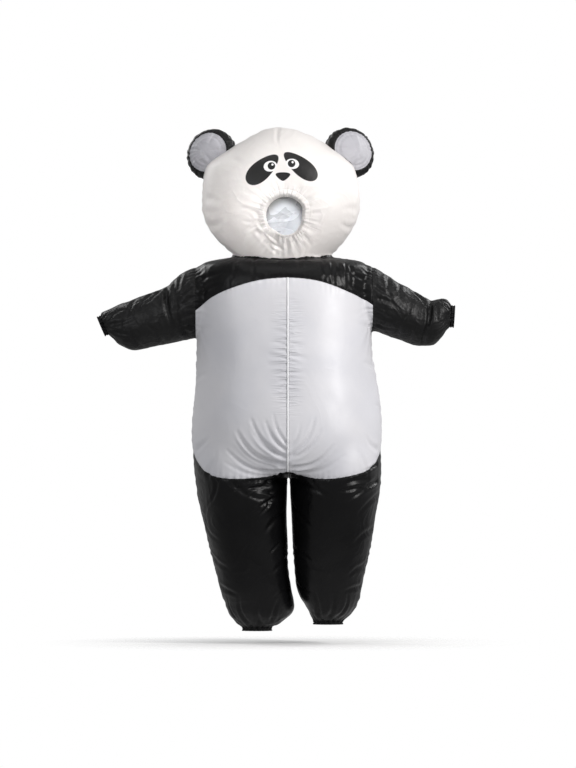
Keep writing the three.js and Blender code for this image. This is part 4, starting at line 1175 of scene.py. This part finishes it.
def film_material():
    """Soft clear film, bluish white in the light, painted grey towards its rim and most at its top:
    painted shade for the shadow under the lip and the unlit inside of the head.
    """
    material, tree, shader = new_material(
        "clear_film", Transmission_Weight=0.3, IOR=1.45, Specular_IOR_Level=0.5
    )
    place = node(tree, "ShaderNodeTexCoord").outputs["Object"]
    folds = use(tree, CRINKLE, {"Place": place, "Scale": 9.0, "Fine": 0.3})
    tone = use(tree, HANDLING, {"Place": place, "Scale": 12.0})
    base = mix_colour(tree, tone.outputs["Tone"], (0.9, 0.92, 0.96, 1), (0.8, 0.84, 0.9, 1))
    # painted shade: the film's colour turns dark grey towards its rim, round a middle set low, so that
    # the top of the film is darkest
    middle = ((WINDOW_X + 3) * MM, 0.0, (WINDOW_Z - 24) * MM)
    from_middle = vector_node(tree, "SUBTRACT", place, middle)
    reach = vector_node(tree, "LENGTH", vector_node(tree, "MULTIPLY", from_middle, (1.1, 0.0, 1.0)))
    base = mix_colour(tree, band(tree, reach, 0.056, 0.094), base, (0.3, 0.3, 0.305, 1))
    tree.links.new(base, shader.inputs["Base Color"])
    gloss = math_node(tree, "MULTIPLY_ADD", folds.outputs["Crest"], 0.12, 0.22)
    tree.links.new(gloss, shader.inputs["Roughness"])
    height = math_node(tree, "MULTIPLY", folds.outputs["Height"], 0.0009)
    bumped(tree, shader, height)
    return material


zip_coil, clear_film = coil_material(), film_material()


# The pieces
def finished(obj, material, slot, *nodes):
    """Puts a piece on the frame, with its material, in place of its CAD nodes."""
    obj.data.materials.clear()
    obj.data.materials.append(material)
    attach(obj, "root")
    if nodes:
        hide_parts(*nodes)
    return obj


skin = one_skin()
points, faces = triangles_of(skin)
edges = np.zeros(len(skin.data.edges) * 2, np.int32)
skin.data.edges.foreach_get("vertices", edges)
edges = edges.reshape(-1, 2)
points = relaxed(points, edges, 3)
# the belly runs down onto the legs without a fold between the forms
low_belly = step(-0.88, -0.82, points[:, 2]) * step(-0.56, -0.62, points[:, 2])
low_belly *= step(0.03, 0.09, np.abs(points[:, 0] - ZIP_X * MM))
points = relaxed(points, edges, 110, 0.5 * low_belly[:, None])
normal = normals_of(points, faces)
skin.data.vertices.foreach_set("co", points.astype(np.float32).ravel())
skin.data.update()
tree = BVHTree.FromObject(skin, bpy.context.evaluated_depsgraph_get())
height = skin_height(points, normal, tree)
rows = np.hstack([points + normal * height[:, None], points])
whole = (rows, faces)
bpy.data.objects.remove(skin)


def neck_field(p):
    """Above 0 on the head's side of the neck seam."""
    return np.where(p[:, 2] > 0.06, 0.01, 0.003 - out_of(HEAD, p))


def ear_turn(yaw, tilt):
    """Columns: across, depth (towards the back) and up of an ear."""
    a, b = math.radians(yaw), -math.radians(tilt)
    about_z = np.array([[math.cos(a), -math.sin(a), 0], [math.sin(a), math.cos(a), 0], [0, 0, 1]])
    about_x = np.array([[1, 0, 0], [0, math.cos(b), -math.sin(b)], [0, math.sin(b), math.cos(b)]])
    return about_z @ about_x


def in_ear(p, x, y, z, turn):
    """How far each point lies outside an ear, in metres."""
    local = (p - np.array([x, y, z]) * MM) @ turn
    table = smooth_rows(EAR, 6)
    radius = np.interp(-local[:, 1], table[:, 0], table[:, 1], left=-0.05, right=-0.05)
    return np.hypot(local[:, 0], local[:, 2]) - radius


def seams_of(part, gaps):
    """Distance to the nearest of these seams, and the length along it."""
    best = np.full(len(part[0]), NO_SEAM)
    place = np.zeros(len(part[0]))
    for gap, along in gaps:
        closer = gap < best
        best = np.where(closer, gap, best)
        place = np.where(closer, along, place)
    return best, place


def side_gap(p):
    return np.abs(p[:, 1] - SIDE_SEAM_Y * MM), p[:, 2]


def neck_gap(p):
    gap = np.maximum(out_of(HEAD, p) - 0.003, p[:, 2] - NECK_Z * MM)
    return np.where(p[:, 2] < 0.2, np.abs(gap), NO_SEAM), round_the_neck(p)


def mouth_gap(name, p):
    middle, across, other, axis, a, b, _ = mouth_frame(name)
    away = p - middle
    gap = np.where(np.linalg.norm(away, axis=1) < MOUTH_ZONE, np.abs(away @ axis), NO_SEAM)
    return gap, np.arctan2(away @ other, away @ across) * (a + b) / 2


def split(part, field_of):
    """The two sides of a seam, a hair apart."""
    field = field_of(rest(part))
    return cut(part, field - SEAM), cut(part, -field - SEAM)


head_part, body = split(whole, neck_field)
for side, x, y, z, yaw, tilt in EARS:
    head_part = cut(head_part, in_ear(rest(head_part), x, y, z, ear_turn(yaw, tilt)) + 0.004)
front_head, back_head = split(head_part, lambda p: SIDE_SEAM_Y * MM - p[:, 1])
front_head = cut(front_head, window_polar(rest(front_head))[1] - RIM_WIDTH * MM - SEAM)
arm_r, body = split(
    body, lambda p: np.minimum(RIGHT_ARMHOLE_X * MM - p[:, 0], p[:, 2] - RIGHT_ARMHOLE_LOW * MM)
)
arm_l, body = split(
    body, lambda p: np.minimum(p[:, 0] - LEFT_ARMHOLE_X * MM, p[:, 2] - LEFT_ARMHOLE_LOW * MM)
)
yoke, body = split(body, lambda p: p[:, 2] - line_at(YOKE_EDGE, p[:, 0]))
legs, belly = split(body, lambda p: line_at(BELLY_EDGE, p[:, 0]) - p[:, 2])
yoke_f, yoke_b = split(yoke, lambda p: SIDE_SEAM_Y * MM - p[:, 1])
belly_f, back = split(belly, lambda p: SIDE_SEAM_Y * MM - p[:, 1])
belly_r = cut(belly_f, (ZIP_X - ZIP_WIDTH / 2) * MM - SEAM - rest(belly_f)[:, 0])
belly_l = cut(belly_f, rest(belly_f)[:, 0] - (ZIP_X + ZIP_WIDTH / 2) * MM - SEAM)
leg_r, leg_l = split(legs, lambda p: crotch_x(p[:, 2]) - p[:, 0])


def opened(part, name):
    """Without the closing cap at the limb's mouth."""
    middle, _, _, axis, *_ = mouth_frame(name)
    away = rest(part) - middle
    return cut(part, np.where(np.linalg.norm(away, axis=1) < MOUTH_ZONE, -(away @ axis) - SEAM, 0.01))


arm_r, arm_l = opened(arm_r, "right_wrist"), opened(arm_l, "left_wrist")
leg_r, leg_l = opened(leg_r, "right_ankle"), opened(leg_l, "left_ankle")
arm_rf, arm_rb = split(arm_r, lambda p: SIDE_SEAM_Y * MM - p[:, 1])
arm_lf, arm_lb = split(arm_l, lambda p: SIDE_SEAM_Y * MM - p[:, 1])

# piece, panel, seams, form for the weave, material, slot, node, cut width, length and area (m, m2)
PANELS = [
    ("head_front_cloth", front_head, ("side", "neck"), HEAD, head_cloth, "head_cloth",
     "head_front", 0.86, 0.68, 0.4),
    ("head_back_cloth", back_head, ("side", "neck"), HEAD, head_cloth, "head_cloth",
     "head_back", 0.86, 0.68, 0.4),
    ("yoke_front_cloth", yoke_f, ("yoke", "neck", "arms", "side"), TRUNK, smooth_black, "black_cloth",
     "yoke_front", 0.82, 0.25, 0.14),
    ("yoke_back_cloth", yoke_b, ("yoke", "neck", "arms", "side"), TRUNK, smooth_black, "black_cloth",
     "yoke_back", 0.82, 0.25, 0.135),
    ("belly_right_cloth", belly_r, ("yoke", "belly", "side", "arms"), TRUNK, white_cloth,
     "white_cloth", "belly_right", 0.5, 0.78, 0.345),
    ("belly_left_cloth", belly_l, ("yoke", "belly", "side", "arms"), TRUNK, white_cloth,
     "white_cloth", "belly_left", 0.5, 0.78, 0.34),
    ("back_panel_cloth", back, ("yoke", "belly", "side", "arms"), TRUNK, white_cloth, "white_cloth",
     "back_panel", 0.98, 0.78, 0.65),
    ("sleeve_right_front_cloth", arm_rf, ("side", "arms", "right_wrist"), TRUNK, black_cloth,
     "black_cloth", "sleeve_right_front", 0.4, 0.4, 0.122),
    ("sleeve_right_back_cloth", arm_rb, ("side", "arms", "right_wrist"), TRUNK, black_cloth,
     "black_cloth", "sleeve_right_back", 0.4, 0.4, 0.122),
    ("sleeve_left_front_cloth", arm_lf, ("side", "arms", "left_wrist"), TRUNK, black_cloth,
     "black_cloth", "sleeve_left_front", 0.4, 0.35, 0.104),
    ("sleeve_left_back_cloth", arm_lb, ("side", "arms", "left_wrist"), TRUNK, black_cloth,
     "black_cloth", "sleeve_left_back", 0.4, 0.35, 0.104),
    ("leg_right_cloth", leg_r, ("belly", "right_ankle"), RIGHT_LEG, smooth_black, "black_cloth",
     "leg_right", 1.3, 0.72, 0.7),
    ("leg_left_cloth", leg_l, ("belly", "left_ankle"), LEFT_LEG, smooth_black, "black_cloth",
     "leg_left", 1.3, 0.7, 0.665),
]
for name, part, seams, form, material, slot_name, node_name, width, length, area in PANELS:
    p = rest(part)
    found = {
        "side": side_gap, "neck": neck_gap,
        "yoke": lambda q: edge_gap(YOKE_EDGE, q), "belly": lambda q: edge_gap(BELLY_EDGE, q),
    }
    gaps = []
    for seam in seams:
        if seam == "arms":
            high = p[:, 2] > ARMHOLE_END_Z * MM
            gaps += [tuple(np.where(high, v, NO_SEAM) for v in along_arm(p, s)) for s in (-1, 1)]
        elif seam in MOUTHS:
            gaps.append(mouth_gap(seam, p))
        else:
            gaps.append(found[seam](p))
    gap, along = seams_of(part, gaps)
    flat = np.stack([round_the_form(p, form), p[:, 2]], 1)
    if "sleeve" in name:
        flat = np.stack([p[:, 0], np.arctan2(p[:, 1], p[:, 2] + 0.15) * 0.11], 1)
    obj = finished(wall(name, part, gap, along, flat), material, slot_name, node_name)


def head_front_y(x, z):
    """Depth of the head's plain front at a place."""
    table = smooth_rows(HEAD, 8)[::-1]
    left, right, front = (np.interp(z, table[:, 0], table[:, k]) for k in (1, 2, 3))
    across = np.abs((x - (left + right) / 2) / ((right - left) / 2))
    return -front * (1 - np.clip(across, 0, 1) ** (2 / SQUARENESS)) ** (SQUARENESS / 2)


FILM_Y = float(head_front_y(WINDOW_X * MM, WINDOW_Z * MM)) + (WINDOW_DIMPLE + RIM_DEPTH) * MM


def strip_faces(count, columns, closed=True):
    """Faces of a grid of points, rings by columns."""
    faces = []
    for i in range(count if closed else count - 1):
        for j in range(columns - 1):
            a, b = i * columns + j, ((i + 1) % count) * columns + j
            faces.append((a, a + 1, b + 1, b))
    return faces


def whole_triangles(tris):
    """Without triangles that have a corner twice."""
    a, b, c = tris.T
    return tris[(a != b) & (b != c) & (a != c)]


def as_triangles(points, faces):
    """A part for cut() and wall() from faces of four corners."""
    quads = np.array(faces)
    tris = np.concatenate([quads[:, [0, 1, 2]], quads[:, [0, 2, 3]]])
    return np.hstack([points, points]), tris


def window_rim():
    """The gathered casing round the window: it lies on the skin, then a lip runs in to the film."""
    count = 420
    shell = BVHTree.FromPolygons(whole[0][:, :3].tolist(), whole[1].tolist())
    # beyond the window's edge, how far out, whether it lies on the skin (1) or the film (0), gathers
    section = [
        (19.8, 0, 1, 0), (17.5, 0.5, 1, 0.3), (15, 1.2, 1, 0.6), (12, 1.9, 1, 0.9), (9, 2.7, 1, 1.1),
        (6.4, 2.9, 1, 1.2), (4, 2.3, 1, 1.2), (2, 0.6, 1, 1.1), (0.6, -2.4, 1, 0.9), (-0.4, -6, 1, 0.7),
        (-1.2, -11, 1, 0.5), (-2, 9, 0, 0.4), (-3.2, 5, 0, 0.3), (-5, 2.4, 0, 0.2), (-7.5, 0.6, 0, 0.1),
    ]
    angle = 2 * np.pi * np.arange(count) / count
    ring = on_ring(angle)
    strong = 0.75 + 0.6 * soft_noise(ring, 0.3, 61)
    wave = np.cos(34 * angle + 4 * soft_noise(ring, 0.45, 62)) * strong
    wave += 0.5 * np.cos(57 * angle + 5 * soft_noise(ring, 0.3, 63))
    wave *= 0.85 + 0.45 * np.cos(angle - math.radians(225))
    swell = 1 + 0.35 * soft_noise(ring, 0.8, 64)
    edge = window_radius(angle)
    seats = {}
    for beyond in (19.8, 2):
        seats[beyond] = []
        for turn, size in zip(angle, edge + beyond * MM):
            x, z = WINDOW_X * MM + size * math.cos(turn), WINDOW_Z * MM + size * math.sin(turn)
            seats[beyond].append(shell.ray_cast(Vector((x, -3, z)), Vector((0, 1, 0)))[0].y)
    columns = []
    for beyond, out, on_skin, share in section:
        radius = edge + (beyond + 0.5 * wave * share) * MM
        x = WINDOW_X * MM + radius * np.cos(angle)
        z = WINDOW_Z * MM + radius * np.sin(angle)
        inward = np.clip((19.8 - beyond) / 17.8, 0, 1)
        seat = np.array(seats[19.8]) * (1 - inward) + np.array(seats[2]) * inward if on_skin else FILM_Y
        columns.append(np.stack([x, seat - (out * swell + 1.5 * wave * share) * MM, z], 1))
    points = np.stack(columns, 1).reshape(-1, 3)
    faces = strip_faces(count, len(section))
    part = as_triangles(points, faces)
    depth = np.tile((19.6 - np.array([row[0] for row in section])) * MM, count)
    uv = np.stack([np.repeat(angle * 0.085, len(section)), depth], 1)
    return wall("window_rim_cloth", part, depth + 0.02, np.repeat(angle * 0.095, len(section)), uv)


def window_film():
    """The clear film, a shallow dome with soft creases."""
    rings, count = 26, 160
    angle = 2 * np.pi * np.arange(count) / count
    radius = (window_radius(angle) - 5.2 * MM)[:, None] * np.linspace(1, 0, rings)[None, :]
    x = WINDOW_X * MM + radius * np.cos(angle)[:, None]
    z = WINDOW_Z * MM + radius * np.sin(angle)[:, None]
    share = np.linspace(1, 0, rings)[None, :] + 0 * x
    flat = np.stack([x.ravel(), 0 * x.ravel(), z.ravel()], 1)
    crease = -1.6 * ridges(flat, 0.055, 71) - 2.0 * soft_noise(flat, 0.06, 72)
    for *line, deep in FILM_CREASES:
        away, _ = from_line(flat, *line)
        crease += deep * np.exp(-away / 0.005)
    y = FILM_Y - (9 * (1 - share**2)).ravel() * MM + crease * (1 - share.ravel() ** 4) * MM * 0.8
    points = np.stack([x.ravel(), y, z.ravel()], 1)
    faces = strip_faces(count, rings)
    rows, tris = as_triangles(points, faces)
    # the middle of the dome is one point, shared by the inner ring of triangles
    at = np.arange(len(rows))
    at[at % rings == rings - 1] = rings - 1
    tris = whole_triangles(at[tris])
    return wall("window_film_sheet", cut((rows, tris), np.ones(len(rows))))


def cuff(name, piece):
    """Gathered elastic casing at the end of a sleeve or leg."""
    middle, across, other, axis, a, b, gathers = mouth_frame(name)
    count = gathers * 16
    angle = 2 * np.pi * np.arange(count) / count
    wave = mouth_gathers(gathers, angle)
    # along, out, how much of the gathers: it starts a little way inside the limb's end
    section = [
        (-6, -3.4, 0.6), (-3, -3.0, 0.7), (-0.8, -2.2, 0.9), (0.3, -0.4, 1), (1.2, 0.8, 1.05),
        (2.6, 1.2, 1.1), (4.2, 0.6, 1), (5.6, -0.8, 0.9), (7, -1.2, 0.9), (8.4, -0.8, 0.9),
        (9.8, 0.6, 1), (11.4, 1.2, 1.1), (12.8, 0.9, 1.1), (13.8, 0, 1.1), (13.9, -1.4, 1.0),
        (13.2, -2.4, 1.0),
    ]
    columns = []
    for along, out, share in section:
        radius_a, radius_b = a + wave * share + out * MM, b + wave * share + out * MM
        columns.append(
            middle
            + across * (radius_a * np.cos(angle))[:, None]
            + other * (radius_b * np.sin(angle))[:, None]
            + axis * along * MM
        )
    points = np.stack(columns, 1).reshape(-1, 3)
    faces = strip_faces(count, len(section))
    seam = np.tile(np.array([abs(s[0] - 3) for s in section]) * MM, count)
    around = np.repeat(angle * a, len(section))
    part = as_triangles(points, faces)
    centre = middle + axis * 0.007
    rows, tris = part
    facing = normals_of(rows[:, :3], tris)
    if np.mean(np.sum(facing * (rows[:, :3] - centre), 1)) < 0:
        tris = tris[:, ::-1]
    uv = np.stack([around, np.tile([s[0] * MM for s in section], count)], 1)
    return wall(piece, (rows, tris), seam, around, uv)


def ear_part(x, y, z, turn, seed):
    """An ear's whole skin, puckered at its seam and creased, outside the head."""
    table = smooth_rows(EAR, 10)
    count = 160
    angle = 2 * np.pi * np.arange(count) / count
    along, radius = table[:, 0][:, None] + 0 * angle, table[:, 1][:, None] + 0 * angle
    local = np.stack([radius * np.cos(angle), -along, radius * np.sin(angle)], 2)
    points, faces = closed_loft(local)
    faces = [f if len(f) == 4 else [*f, f[-1]] for f in faces]
    quads = np.array(faces)
    tris = np.concatenate([quads[:, [0, 1, 2]], quads[:, [0, 2, 3]]])
    tris = whole_triangles(tris)
    facing = normals_of(points, tris)
    turned = np.arctan2(points[:, 2], points[:, 0])
    round_it = on_ring(turned)
    along = -points[:, 1]
    reach = np.hypot(points[:, 0], points[:, 2])
    # edge seam where front meets back, and the seam of the face
    edge = np.abs(along - EAR_SEAM_AT * MM)
    face = np.where(along > 0.02, np.abs(reach - EAR_FACE_ROUND * MM), NO_SEAM)
    strong = 0.8 + 0.5 * soft_noise(round_it, 0.4, seed)
    wave = np.cos(19 * turned + 3 * soft_noise(round_it, 0.5, seed + 1)) * strong
    h = 2.6 * MM * wave * np.exp(-edge / 0.03) * step(0.03, 0.08, reach)
    h *= np.where(along > 0.035, 0.3, 1)
    h -= 3.5 * MM * np.exp(-((edge / 0.007) ** 2))
    fine = np.cos(27 * turned + 4 * soft_noise(round_it, 0.4, seed + 2)) * strong
    h += 1.8 * MM * fine * np.exp(-face / 0.016) - 3.0 * MM * np.exp(-((face / 0.005) ** 2))
    h += 0.8 * MM * (ridges(points, 0.05, seed + 3) - 0.2)
    h += 1.2 * MM * soft_noise(points, 0.06, seed + 4)
    flat = points * np.array([1 if x < 0 else -1, 0, 1])
    for *line, deep in EAR_CREASES:
        away, t = from_line(flat, *line)
        h -= np.where(along > 0.03, deep * MM * np.exp(-((away / 0.006) ** 1.5)) * (1 - 0.6 * t), 0)
    # the face is blown out, and the left ear's has one upright ridge
    blown_out = np.where(along > 0.045, np.clip(1 - (reach / (EAR_FACE_ROUND * MM)) ** 2, 0, 1), 0)
    h += 9 * MM * blown_out
    if x > 0:
        h += 14 * MM * blown_out * np.exp(-np.abs(points[:, 0] - 0.014) / 0.026)
    rest_place = points @ turn.T + np.array([x, y, z]) * MM
    shaped = (points + facing * h[:, None]) @ turn.T + np.array([x, y, z]) * MM
    rows = np.hstack([shaped, rest_place, points, turned[:, None]])
    part = (rows, tris)
    return cut(part, out_of(HEAD, rows[:, 3:6]) + 0.0015)


def make_ears():
    for side, x, y, z, yaw, tilt in EARS:
        part = ear_part(x, y, z, ear_turn(yaw, tilt), 81 if side == "right" else 91)
        local_along = -part[0][:, 7] - EAR_FACE_FROM * MM
        for label, piece, slot_name, material, size in (
            ("face", cut(part, local_along - SEAM), "grey_cloth", grey_cloth, (0.15, 0.15, 0.018)),
            ("rim", cut(part, -local_along - SEAM), "black_cloth", black_cloth, (0.34, 0.22, 0.047)),
        ):
            rows = piece[0]
            reach = np.hypot(rows[:, 6], rows[:, 8])
            seam = 1.6 * np.abs(-rows[:, 7] - EAR_FACE_FROM * MM)
            edge = np.abs(-rows[:, 7] - EAR_SEAM_AT * MM) if label == "rim" else NO_SEAM
            seam = np.minimum(seam, edge)
            uv = np.stack([rows[:, 6], rows[:, 8]], 1)
            name = f"ear_{side}_{label}"
            obj = wall(name + "_cloth", piece, seam, rows[:, 9] * np.maximum(reach, 0.02), uv)
            finished(obj, material, slot_name, name)


def zip_line():
    """Points and outward directions down the zip, an even step apart."""
    top, low, pitch = -0.0462, -0.7695, 0.0025
    z = np.linspace(top, low, 1200)
    # it follows the skin's own soft waves, so that the tape lies in it
    shell = whole[0]
    near = (np.abs(shell[:, 3] - ZIP_X * MM) < 0.006) & (shell[:, 4] < -0.1) & (shell[:, 5] < -0.03)
    order = np.argsort(shell[near, 5])
    y = np.interp(z, shell[near, 5][order], shell[near, 1][order])
    y = np.convolve(np.pad(y, 12, mode="edge"), np.ones(25) / 25, "valid")
    length = np.concatenate([[0], np.cumsum(np.hypot(np.diff(y), np.diff(z)))])
    even = np.arange(0, length[-1], pitch)
    y, z = np.interp(even, length, y), np.interp(even, length, z)
    dy, dz = np.gradient(y), np.gradient(z)
    size = np.hypot(dy, dz)
    return y, z, np.stack([0 * y, dz / size, -dy / size], 1), even


def zip_tape():
    """The raised tape of the closed zip, down the middle of the belly."""
    y, z, out, along = zip_line()
    across = np.linspace(-ZIP_WIDTH / 2 + 0.3, ZIP_WIDTH / 2 - 0.3, 9)
    raise_by = np.array([0.2, 1.5, 2.3, 2.6, 2.6, 2.6, 2.3, 1.5, 0.2])
    columns = []
    for a, r in zip(across, raise_by):
        base = np.stack([np.full(len(y), (ZIP_X + a) * MM), y, z], 1)
        columns.append(base + out * (r * MM))
    points = np.stack(columns, 1).reshape(-1, 3)
    rows, tris = as_triangles(points, strip_faces(len(y), 9, closed=False))
    if normals_of(points, tris)[:, 1].mean() > 0:
        tris = tris[:, ::-1]
    seam = np.tile(np.abs(np.abs(across) - 3.2) * MM, len(y))
    uv = np.stack([np.tile(across * MM, len(y)), np.repeat(along, 9)], 1)
    return wall("front_zip_tape", (rows, tris), seam + 0.0035, np.repeat(along, 9), uv)


def coil_tooth():
    """One turn of the zip's coil: a small rounded link, modelled at the origin."""
    bpy.ops.object.select_all(action="DESELECT")
    bpy.ops.mesh.primitive_cube_add(size=1, location=(0, 0, 0))
    tooth = bpy.context.active_object
    bpy.ops.object.mode_set(mode="EDIT")
    bpy.ops.transform.resize(value=(2.3 * MM, 0.8 * MM, 1.3 * MM))
    bpy.ops.mesh.bevel(offset=0.25 * MM, segments=1, affect="EDGES")
    bpy.ops.object.mode_set(mode="OBJECT")
    return tooth


def zip_coil_piece():
    """Two rows of links that mesh down the middle of the tape."""
    tooth = coil_tooth()
    shape, tris = triangles_of(tooth)
    bpy.data.objects.remove(tooth)
    y, z, out, _ = zip_line()
    points, faces = [], []
    for i in range(2, len(y) - 2):
        side = 1 if i % 2 else -1
        down = np.cross(out[i], [1.0, 0, 0])
        turn = np.stack([[1.0, 0.0, 0.0], -out[i], down], 1)
        place = np.array([(ZIP_X + 0.7 * side) * MM, y[i], z[i]]) + out[i] * 2.9 * MM
        faces.append(tris + len(shape) * len(points))
        points.append(shape @ turn.T + place)
    obj = mesh_object("front_zip_coil", np.vstack(points), np.vstack(faces))
    only(obj)
    bpy.ops.object.mode_set(mode="EDIT")
    bpy.ops.mesh.select_all(action="SELECT")
    bpy.ops.mesh.normals_make_consistent(inside=False)
    bpy.ops.object.mode_set(mode="OBJECT")
    return obj


rim = finished(window_rim(), head_cloth, "head_cloth", "window_rim")
film = finished(window_film(), clear_film, "clear_film", "window_film")
for mouth, piece, size in (
    ("right_wrist", "wrist_cuff_right", (0.29, 0.025, 0.0066)),
    ("left_wrist", "wrist_cuff_left", (0.29, 0.025, 0.0066)),
    ("right_ankle", "ankle_cuff_right", (0.4, 0.025, 0.0092)),
    ("left_ankle", "ankle_cuff_left", (0.4, 0.025, 0.0092)),
):
    made = finished(cuff(mouth, piece + "_casing"), cuff_cloth, "black_cloth", piece)
make_ears()
coil = finished(zip_coil_piece(), zip_coil, "zip_tape")
tape = finished(zip_tape(), zip_cloth, "zip_tape", "front_zip")


# Floor, light and camera
def pale_floor():
    """A round pale floor that fades out towards its edge."""
    bpy.ops.object.select_all(action="DESELECT")
    middle = (0, 0, FLOOR_Z)
    bpy.ops.mesh.primitive_circle_add(vertices=96, radius=4.0, fill_type="NGON", location=middle)
    floor = bpy.context.active_object
    floor.name = "studio_floor"
    material, tree, shader = new_material("studio_floor", Specular_IOR_Level=0.1, Roughness=0.9)
    place = node(tree, "ShaderNodeTexCoord").outputs["Object"]
    speck = node(tree, "ShaderNodeTexNoise", {"Vector": place, "Scale": 3.0})
    base = mix_colour(tree, speck.outputs["Fac"], (0.93, 0.93, 0.93, 1), (0.9, 0.9, 0.9, 1))
    tree.links.new(base, shader.inputs["Base Color"])
    reach = vector_node(tree, "LENGTH", place)
    tree.links.new(band(tree, reach, 0.15, 1.0, 0.9, 0.0), shader.inputs["Alpha"])
    floor.data.materials.append(material)


# name, place, what it points at, width and height, watts, colour, spread in degrees
LIGHTS = [
    ("key", (3.7, -2.7, 1.5), (0, 0, -0.4), (1.4, 2.4), 182, (1.0, 0.985, 0.975), 180),
    ("fill", (-2.9, -3.6, 1.0), (0, 0, -0.2), (2.0, 2.0), 38, (0.97, 0.98, 1.0), 180),
    ("over", (0.2, -1.4, 3.4), (0, 0, 0), (3.0, 2.4), 26, (1, 1, 1), 180),
    ("face", (-1.0, -2.9, -0.5), (-0.04, 0, 0.25), (0.3, 0.3), 0.2, (1.0, 0.98, 0.96), 12),
    ("back_left", (-2.6, 2.6, 1.8), (0, 0, -0.3), (1.2, 2.2), 45, (1, 1, 1), 180),
    ("back_right", (2.6, 2.8, 1.8), (0, 0, -0.3), (1.2, 2.2), 45, (1, 1, 1), 180),
]


def area_light(name, place, aim, size, power, colour, spread):
    lamp = bpy.data.lights.new(name, "AREA")
    lamp.shape = "RECTANGLE"
    lamp.size, lamp.size_y = size
    lamp.energy = power
    lamp.color = colour
    lamp.spread = math.radians(spread)
    obj = bpy.data.objects.new(name, lamp)
    obj.location = place
    obj.rotation_euler = (Vector(aim) - Vector(place)).to_track_quat("-Z", "Y").to_euler()
    bpy.context.scene.collection.objects.link(obj)


def studio():
    """A white surround and the lights."""
    world = bpy.data.worlds.new("studio")
    bpy.context.scene.world = world
    world.use_nodes = True
    tree = world.node_tree
    tree.nodes.clear()
    seen = node(tree, "ShaderNodeLightPath").outputs["Is Camera Ray"]
    light = node(tree, "ShaderNodeBackground", {"Color": (1.0, 1.0, 1.0, 1), "Strength": 0.33})
    behind = node(tree, "ShaderNodeBackground", {"Color": (1.0, 1.0, 1.0, 1), "Strength": 1.0})
    mixed = node(tree, "ShaderNodeMixShader", {0: seen, 1: light.outputs[0], 2: behind.outputs[0]})
    node(tree, "ShaderNodeOutputWorld", {"Surface": mixed.outputs[0]})
    for lamp in LIGHTS:
        area_light(*lamp)


def long_camera():
    """The photograph's view, from straight in front and far off."""
    away, view_width = 30.0, 2.16
    camera = bpy.data.objects.new("camera", bpy.data.cameras.new("camera"))
    camera.location = (0.00375, -away, -0.4425)
    camera.rotation_euler = (math.pi / 2, 0, 0)
    camera.data.sensor_fit = "HORIZONTAL"
    camera.data.sensor_width = 36
    camera.data.lens = 36 * away / view_width
    bpy.context.scene.collection.objects.link(camera)
    bpy.context.scene.camera = camera


pale_floor()
studio()
long_camera()
bpy.context.scene.view_settings.view_transform = "Standard"
